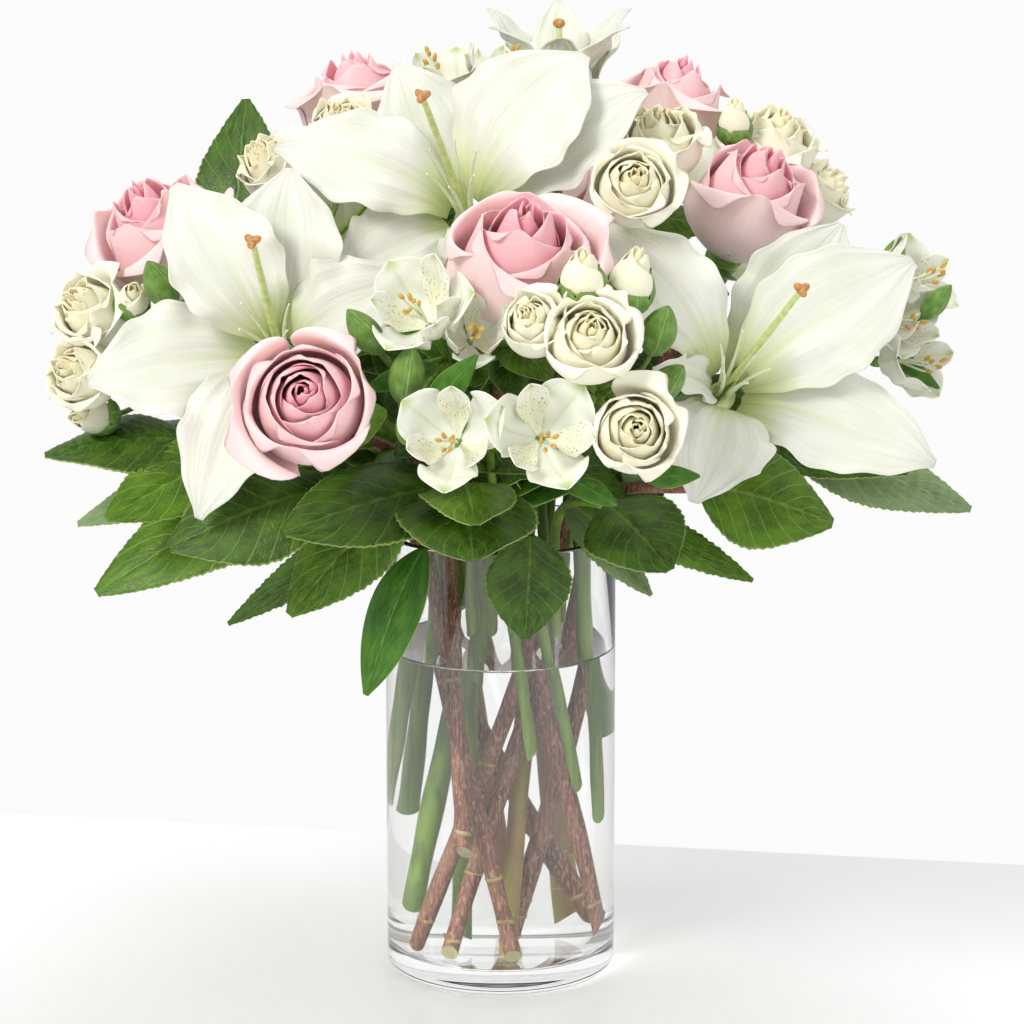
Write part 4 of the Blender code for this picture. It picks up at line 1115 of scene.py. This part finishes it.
# name: stem's end, its heading, then each leaf's ring on the stem, tip, width, bend, way it faces and finish
BRANCHES = {
    "salal_left": ((-0.130, -0.030, 0.044), (-1, -0.1, 0.15), [
        (6, (-0.197, -0.040, 0.042), 0.036, 0.08, UP, "top"),
        (5, (-0.168, -0.075, 0.022), 0.030, 0.08, (0.3, -0.6, 0.8), "bright"),
        (4, (-0.186, -0.010, 0.004), 0.026, 0.08, (0, -0.6, 0.8), "under"),
        (3, (-0.175, -0.050, -0.017), 0.040, 0.10, (0, -0.7, 0.7), "bright"),
        (5, (-0.185, 0.030, 0.030), 0.034, 0.08, UP, "top"),
    ]),
    "salal_lower_left": ((-0.070, -0.090, 0.038), (-0.8, -0.6, 0.1), [
        (6, (-0.139, -0.110, 0.018), 0.040, 0.10, (0, -0.7, 0.7), "top"),
        (4, (-0.090, -0.084, -0.018), 0.030, 0.10, (-0.1, -0.9, 0.3), "bright"),
        (3, (-0.118, -0.050, -0.031), 0.016, 0.08, (-0.2, -0.9, 0.3), "top"),
    ]),
    "salal_front": ((-0.016, -0.096, 0.040), (0, -1, 0.3), [
        (5, (-0.090, -0.128, 0.029), 0.040, 0.08, (0, -0.6, 0.8), "top"),
        (6, (-0.010, -0.160, 0.040), 0.032, 0.10, UP, "bright"),
        (6, (-0.011, -0.140, 0.020), 0.048, 0.10, UP, "top"),
    ]),
    "salal_lower_right": ((0.045, -0.085, 0.030), (0.5, -0.9, 0.1), [
        (6, (0.071, -0.125, 0.012), 0.036, 0.10, (0.1, -0.8, 0.6), "top"),
        (4, (0.108, -0.080, -0.004), 0.015, 0.08, (0.1, -0.9, 0.5), "bright"),
        (3, (0.065, -0.070, -0.013), 0.013, 0.08, (0.1, -0.9, 0.3), "under"),
    ]),
    "salal_right": ((0.085, -0.068, 0.034), (1, -0.2, 0.1), [
        (6, (0.142, -0.075, 0.020), 0.038, 0.10, (0, -0.7, 0.7), "bright"),
        (4, (0.086, -0.060, 0.074), 0.024, 0.06, (-0.3, -0.9, 0.1), "under"),
    ]),
    "salal_far_right": ((0.125, -0.008, 0.036), (1, 0, 0.1), [
        (6, (0.206, -0.020, 0.013), 0.026, 0.08, (0, -0.7, 0.7), "under"),
        (5, (0.176, -0.042, 0.034), 0.022, 0.08, (0, -0.5, 0.9), "top"),
        (5, (0.178, 0.040, 0.030), 0.034, 0.08, UP, "top"),
    ]),
    "salal_top_left": ((-0.116, 0.020, 0.116), (0, 0.1, 1), [
        (6, (-0.113, 0.052, 0.183), 0.032, 0.06, (-0.3, -0.9, 0.3), "top"),
        (4, (-0.150, 0.060, 0.100), 0.034, 0.08, (-0.4, 0.4, 0.8), "top"),
    ]),
    "salal_rear_left": ((-0.040, 0.110, 0.040), (-0.2, 1, 0.1), [
        (6, (-0.060, 0.172, 0.030), 0.040, 0.08, (0, 0.3, 1), "top"),
        (5, (-0.110, 0.140, 0.020), 0.038, 0.08, (0, 0.3, 1), "top"),
        (4, (0.010, 0.150, 0.018), 0.038, 0.08, (0, 0.3, 1), "bright"),
    ]),
    "salal_rear_right": ((0.080, 0.090, 0.040), (0.6, 0.8, 0.1), [
        (6, (0.120, 0.145, 0.030), 0.040, 0.08, (0, 0.3, 1), "top"),
        (5, (0.150, 0.080, 0.024), 0.038, 0.08, (0.2, 0.3, 1), "bright"),
        (4, (0.060, 0.150, 0.020), 0.036, 0.08, (0, 0.3, 1), "top"),
    ]),
}

BROAD = 1.22
LEAVES = {"top": LEAF_TOP, "bright": LEAF_BRIGHT, "under": LEAF_UNDER}


# ---------- putting it together ----------

def stem_to(name, end, facing, material, knots):
    """The fine stem under a rose or lily; its solid is part of the flower's own."""
    stem = stem_piece(f"{name}_stem_fine", name, end, facing, material, knots, sum(map(ord, name)))
    finish_piece(stem, ())


def build_roses():
    for name, (centre, facing, radius, height) in ROSES.items():
        middle = TOP + Vector(centre)
        axis = Vector(facing).normalized()
        big_rose(name, middle, axis, radius, height)
        skin = OLIVE if name in OLIVE_STEMS else BARK
        stem_to(name, middle - axis * height * STEM_SHARE, facing, skin, 2)


def build_lilies():
    for name, (throat, facing, stigma, first_inner, tips) in LILIES.items():
        lily_petals(name, throat, facing, first_inner, tips)
        lily_heart(name, throat, facing, stigma)
        stem_to(name, stem_end(throat, facing), facing, STEM_GREEN, 0)
    for name, throat, facing, shape in SMALL_LILIES:
        small_lily(name, throat, facing, *shape)
        stem_to(name, stem_end(throat, facing), facing, STEM_GREEN, 0)


def stem_end(throat, facing):
    """Where a lily's stem meets its funnel."""
    return TOP + Vector(throat) - Vector(facing).normalized() * (FUNNEL_DEPTH + 0.004)


def build_clusters():
    kinds = {"rose": spray_rose, "bud": bud, "star": star, "green": green_bud}
    for name, (fork, heads) in CLUSTERS.items():
        fork = TOP + Vector(fork)
        parts = []
        for index, (kind, centre, facing, radius, height) in enumerate(heads):
            middle = TOP + Vector(centre)
            axis = Vector(facing).normalized()
            parts += kinds[kind](f"{name}_{kind}_{index}", middle, axis, radius, height)
            foot = middle - axis * height * TWIG_SHARE
            path = bezier(fork, fork.lerp(foot, 0.35), foot - axis * 0.35 * (foot - fork).length, foot, 12)
            parts.append(tube(f"{name}_twig_{index}", path, [TWIG_RADIUS] * 13, 8, STEM_GREEN))
        heading = Vector((fork.x, fork.y, fork.z - VASE_HEIGHT + 0.06))
        parts.append(stem_piece(name + "_stalk", name, fork, heading, STEM_GREEN, 0, len(name)))
        finish_piece(joined(parts, name + "_fine"), (name,))


def build_branches():
    for name, (end, heading, leaves) in BRANCHES.items():
        end = TOP + Vector(end)
        points = stem_points(name, end, heading)
        woody = STEMS[name][3] == WOODY_RADIUS
        skin, knots = (BARK, 2) if woody else (STEM_GREEN, 0)
        parts = [stem_piece(name + "_stalk", name, end, heading, skin, knots, len(name))]
        for index, (ring, tip, width, arch, face, look) in enumerate(leaves):
            base = points[ring]
            tip = TOP + Vector(tip)
            leaf = f"{name}_leaf_{index}"
            width *= BROAD
            parts.append(leaf_piece(leaf, base, tip, width, arch, face, LEAVES[look], f"{name}{index}"))
            parts.append(leaf_stalk(f"{name}_stalk_{index}", base, tip))
        finish_piece(joined(parts, name + "_fine"), (name,))
    base = TOP + Vector((-0.032, -0.063, 0.006))
    tip = TOP + Vector((-0.058, -0.069, -0.058))
    leaf = leaf_piece("lily_leaf_fine", base, tip, 0.026, 0.10, (-0.4, -0.9, 0.2), LEAF_LONG, 4, False, -0.15)
    finish_piece(leaf, ("lily_leaf",), align=True)
    base = TOP + Vector((0.013, -0.075, 0.015))
    tip = TOP + Vector((0.0108, -0.075, -0.031))
    leaf = leaf_piece("rose_leaf_fine", base, tip, 0.036, 0.06, (0.1, -1, 0.1), LEAF_TOP, 7, True, -0.10)
    finish_piece(leaf, ("rose_leaf",), align=True)


# fork, base, tip and radius of each green bud, then base, tip and width of each narrow leaf beside them
GREEN_BUDS = [
    ((-0.022, -0.090, 0.095), (-0.048, -0.134, 0.106), (-0.062, -0.146, 0.127), 0.0066),
    ((-0.004, -0.110, 0.060), (-0.036, -0.144, 0.070), (-0.040, -0.156, 0.086), 0.0050),
    ((0.040, -0.110, 0.085), (0.062, -0.132, 0.105), (0.069, -0.144, 0.128), 0.0078),
    ((0.040, -0.110, 0.085), (0.064, -0.136, 0.088), (0.075, -0.148, 0.104), 0.0066),
    ((-0.135, 0.0, 0.075), (-0.140, -0.045, 0.108), (-0.150, -0.055, 0.130), 0.0075),
    ((0.150, -0.020, 0.085), (0.182, -0.030, 0.100), (0.194, -0.036, 0.116), 0.0050),
    ((0.150, -0.020, 0.085), (0.168, -0.004, 0.112), (0.174, -0.008, 0.132), 0.0055),
]
NARROW_LEAVES = [
    ((-0.030, -0.148, 0.084), (-0.009, -0.160, 0.111), 0.013),
    ((-0.026, -0.120, 0.098), (-0.056, -0.140, 0.092), 0.011),
    ((0.166, -0.024, 0.086), (0.190, -0.034, 0.070), 0.008),
    ((0.168, -0.018, 0.110), (0.192, -0.024, 0.108), 0.007),
    ((0.060, -0.144, 0.056), (0.082, -0.158, 0.060), 0.010),
    ((0.030, -0.150, 0.056), (0.048, -0.168, 0.050), 0.010),
]


def green_bud(name, middle, axis, radius, height):
    """A closed green bud of three scales."""
    base = middle - axis * height * HEAD_SHARE
    side, other = frame_of(axis)
    sheets = []
    for scale in range(3):
        turn = math.tau * scale / 3
        out = side * math.cos(turn) + other * math.sin(turn)
        place = bud_scale(base, axis, out, radius, height)
        sheets.append(grid(f"{name}_{scale}", place, SEPAL_GREEN, (12, 8)))
    return [thicken(joined(sheets, name), BUD_SHEET)]


def build_green_buds():
    """The green buds on twigs from their flowers' forks, with the narrow leaves beside them."""
    parts = []
    for index, (fork, base, tip, radius) in enumerate(GREEN_BUDS):
        fork = TOP + Vector(fork)
        base = TOP + Vector(base)
        tip = TOP + Vector(tip)
        axis = (tip - base).normalized()
        long = (tip - base).length
        parts += green_bud(f"green_bud_{index}", base + axis * long * HEAD_SHARE, axis, radius, long)
        back = (base - fork).length * 0.4
        path = bezier(fork, fork.lerp(base, 0.35), base - axis * back, base + axis * 0.001, 10)
        parts.append(tube(f"green_bud_twig_{index}", path, [0.0010] * 11, 8, STEM_GREEN))
    leaves = []
    for index, (base, tip, width) in enumerate(NARROW_LEAVES):
        base = TOP + Vector(base)
        tip = TOP + Vector(tip)
        place = blade_place(base, tip, width, 0.10, (0.1, -0.9, 0.3), -0.25, leaf_outline)
        leaves.append(grid(f"narrow_leaf_{index}", place, LEAF_LONG, (18, 8)))
    parts.append(thicken(joined(leaves, "narrow_leaves"), LEAF_SHEET))
    finish_piece(joined(parts, "green_buds"), ())


def bud_scale(base, axis, out, radius, long):
    """One of the three scales that close a green bud."""
    across_way = axis.cross(out)

    def place(along, across):
        share = min(max(along, 0), 1)
        belly = radius * (0.02 + 0.98 * math.sin(math.pi * min(share, 0.997) ** 0.85) ** 0.8)
        belly *= 1 - 0.10 * abs(across)
        angle = across * math.radians(74)
        return base + (out * math.cos(angle) + across_way * math.sin(angle)) * belly + axis * long * share
    return place


# the small leaves stay inside an egg round this centre
FILLER_CENTRE = Vector((0, -0.012, 0.262))
FILLER_REACH = Vector((0.150, 0.122, 0.112))
LEAVES_EACH = 9
MOST_TRIES = 120


def build_foliage():
    """Small dark leaves up the flowers' own stems, which close the bouquet between the heads."""
    rng = random.Random(11)
    routes = []
    for name, (centre, facing, radius, height) in ROSES.items():
        axis = Vector(facing).normalized()
        routes.append((name, TOP + Vector(centre) - axis * height * STEM_SHARE, axis))
    for name, (throat, facing, stigma, first_inner, tips) in LILIES.items():
        axis = Vector(facing).normalized()
        routes.append((name, TOP + Vector(throat) - axis * FUNNEL_DEPTH, axis))
    for name, (fork, heads) in CLUSTERS.items():
        routes.append((name, TOP + Vector(fork), Vector((fork[0], fork[1], 0.06))))
    for index, (name, end, facing) in enumerate(routes):
        path = stem_points(name, end, facing, 24)[2:]
        parts = []
        tries = 0
        while len(parts) < LEAVES_EACH and tries < MOST_TRIES:
            tries += 1
            base = path[rng.randrange(3, 24)]
            outward = Vector((base.x - FILLER_CENTRE.x, base.y - FILLER_CENTRE.y, 0.02))
            way = (outward.normalized() + Vector([rng.uniform(-1.0, 1.0) for axis in range(3)])).normalized()
            length = rng.uniform(0.030, 0.052)
            tip = base + way * length
            offset = tip - FILLER_CENTRE
            spread = math.sqrt(sum((offset[axis] / FILLER_REACH[axis]) ** 2 for axis in range(3)))
            if spread > 1 or tip.z < VASE_HEIGHT + 0.004:
                continue
            face = Vector((0, -0.7, 0.8)) + Vector([rng.uniform(-0.3, 0.3) for axis in range(3)])
            if abs(face.normalized().dot(way)) > 0.9:
                continue
            look = rng.choice((LEAF_TOP, LEAF_TOP, LEAF_BRIGHT, LEAF_LONG))
            width = length * (0.30 if look == LEAF_LONG else rng.uniform(0.48, 0.62))
            place = blade_place(base, tip, width, 0.10, face, -0.15, leaf_outline)
            parts.append(grid(f"foliage_{index}_{tries}", place, look, (16, 8)))
        if parts:
            finish_piece(thicken(joined(parts, f"foliage_{name}"), LEAF_SHEET, 0), ())


vase_pieces()
build_roses()
build_lilies()
build_clusters()
build_branches()
build_foliage()
build_green_buds()


# ---------- table, light and camera ----------

def studio():
    """A white table against white, three soft lamps, an even sky and the camera in front."""
    fresh()
    bpy.ops.mesh.primitive_plane_add(size=1, location=(0, 0, 0))
    table = bpy.context.object
    table.name = "table"
    made, tree, shader = new_material("table_white", 0.30)
    place = add(tree, "TexCoord").outputs["Object"]
    noise = add(tree, "TexNoise", Vector=place, Scale=3.0, Detail=2.0).outputs[0]
    colour = mix(tree, between(tree, noise, 0.3, 0.7), (0.94, 0.94, 0.94), (0.96, 0.96, 0.96))
    tree.links.new(colour, shader.inputs["Base Color"])
    table.data.materials.append(made)
    back_left = Vector((-0.60, 0.290, 0))
    back_right = Vector((0.60, 0.085, 0))
    corners = {(-1, -1): (-1.2, -1.6), (1, -1): (1.2, -1.6), (-1, 1): back_left[:2], (1, 1): back_right[:2]}
    for vertex in table.data.vertices:
        x, y = corners[(1 if vertex.co.x > 0 else -1, 1 if vertex.co.y > 0 else -1)]
        vertex.co = (x, y, 0)

    for name, place, aim, size, power, tint in (
        ("key", (-1.3, -1.5, 1.7), (0, 0, 0.28), 0.9, 34, (1.0, 0.975, 0.935)),
        ("fill", (1.8, -1.4, 0.9), (0, 0, 0.25), 1.6, 8, (0.96, 0.98, 1.0)),
        ("over", (0.3, 0.7, 2.0), (0, 0, 0.25), 1.2, 12, (1.0, 1.0, 1.0)),
    ):
        fresh()
        bpy.ops.object.light_add(type="AREA", location=place)
        lamp = bpy.context.object
        lamp.name = name
        lamp.data.shape = "DISK"
        lamp.data.size = size
        lamp.data.energy = power
        lamp.data.color = tint
        lamp.rotation_euler = (Vector(aim) - Vector(place)).to_track_quat("-Z", "Y").to_euler()

    world = bpy.data.worlds.new("studio")
    world.use_nodes = True
    tree = world.node_tree
    ground = tree.nodes["Background"]
    ground.inputs["Color"].default_value = (1.0, 1.0, 1.0, 1)
    path = tree.nodes.new("ShaderNodeLightPath")
    lift = tree.nodes.new("ShaderNodeMapRange")
    through = math_node(tree, "SUBTRACT", 1.0, path.outputs["Is Transmission Ray"])
    soft = math_node(tree, "MULTIPLY", path.outputs["Is Glossy Ray"], through)
    tree.links.new(math_node(tree, "MAXIMUM", path.outputs["Is Diffuse Ray"], soft), lift.inputs[0])
    lift.inputs[3].default_value = 0.97
    lift.inputs[4].default_value = 0.66
    tree.links.new(lift.outputs[0], ground.inputs["Strength"])
    bpy.context.scene.world = world
    bpy.context.scene.view_settings.view_transform = "Standard"

    elevation = math.radians(13.5)
    distance = 2.2
    aim = Vector((0.0051, 0, 0.209))
    fresh()
    bpy.ops.object.camera_add(
        location=aim + Vector((0, -math.cos(elevation), math.sin(elevation))) * distance,
        rotation=(math.radians(90) - elevation, 0, 0),
    )
    camera = bpy.context.object
    camera.data.lens = 175
    camera.data.sensor_width = 36
    bpy.context.scene.camera = camera


studio()
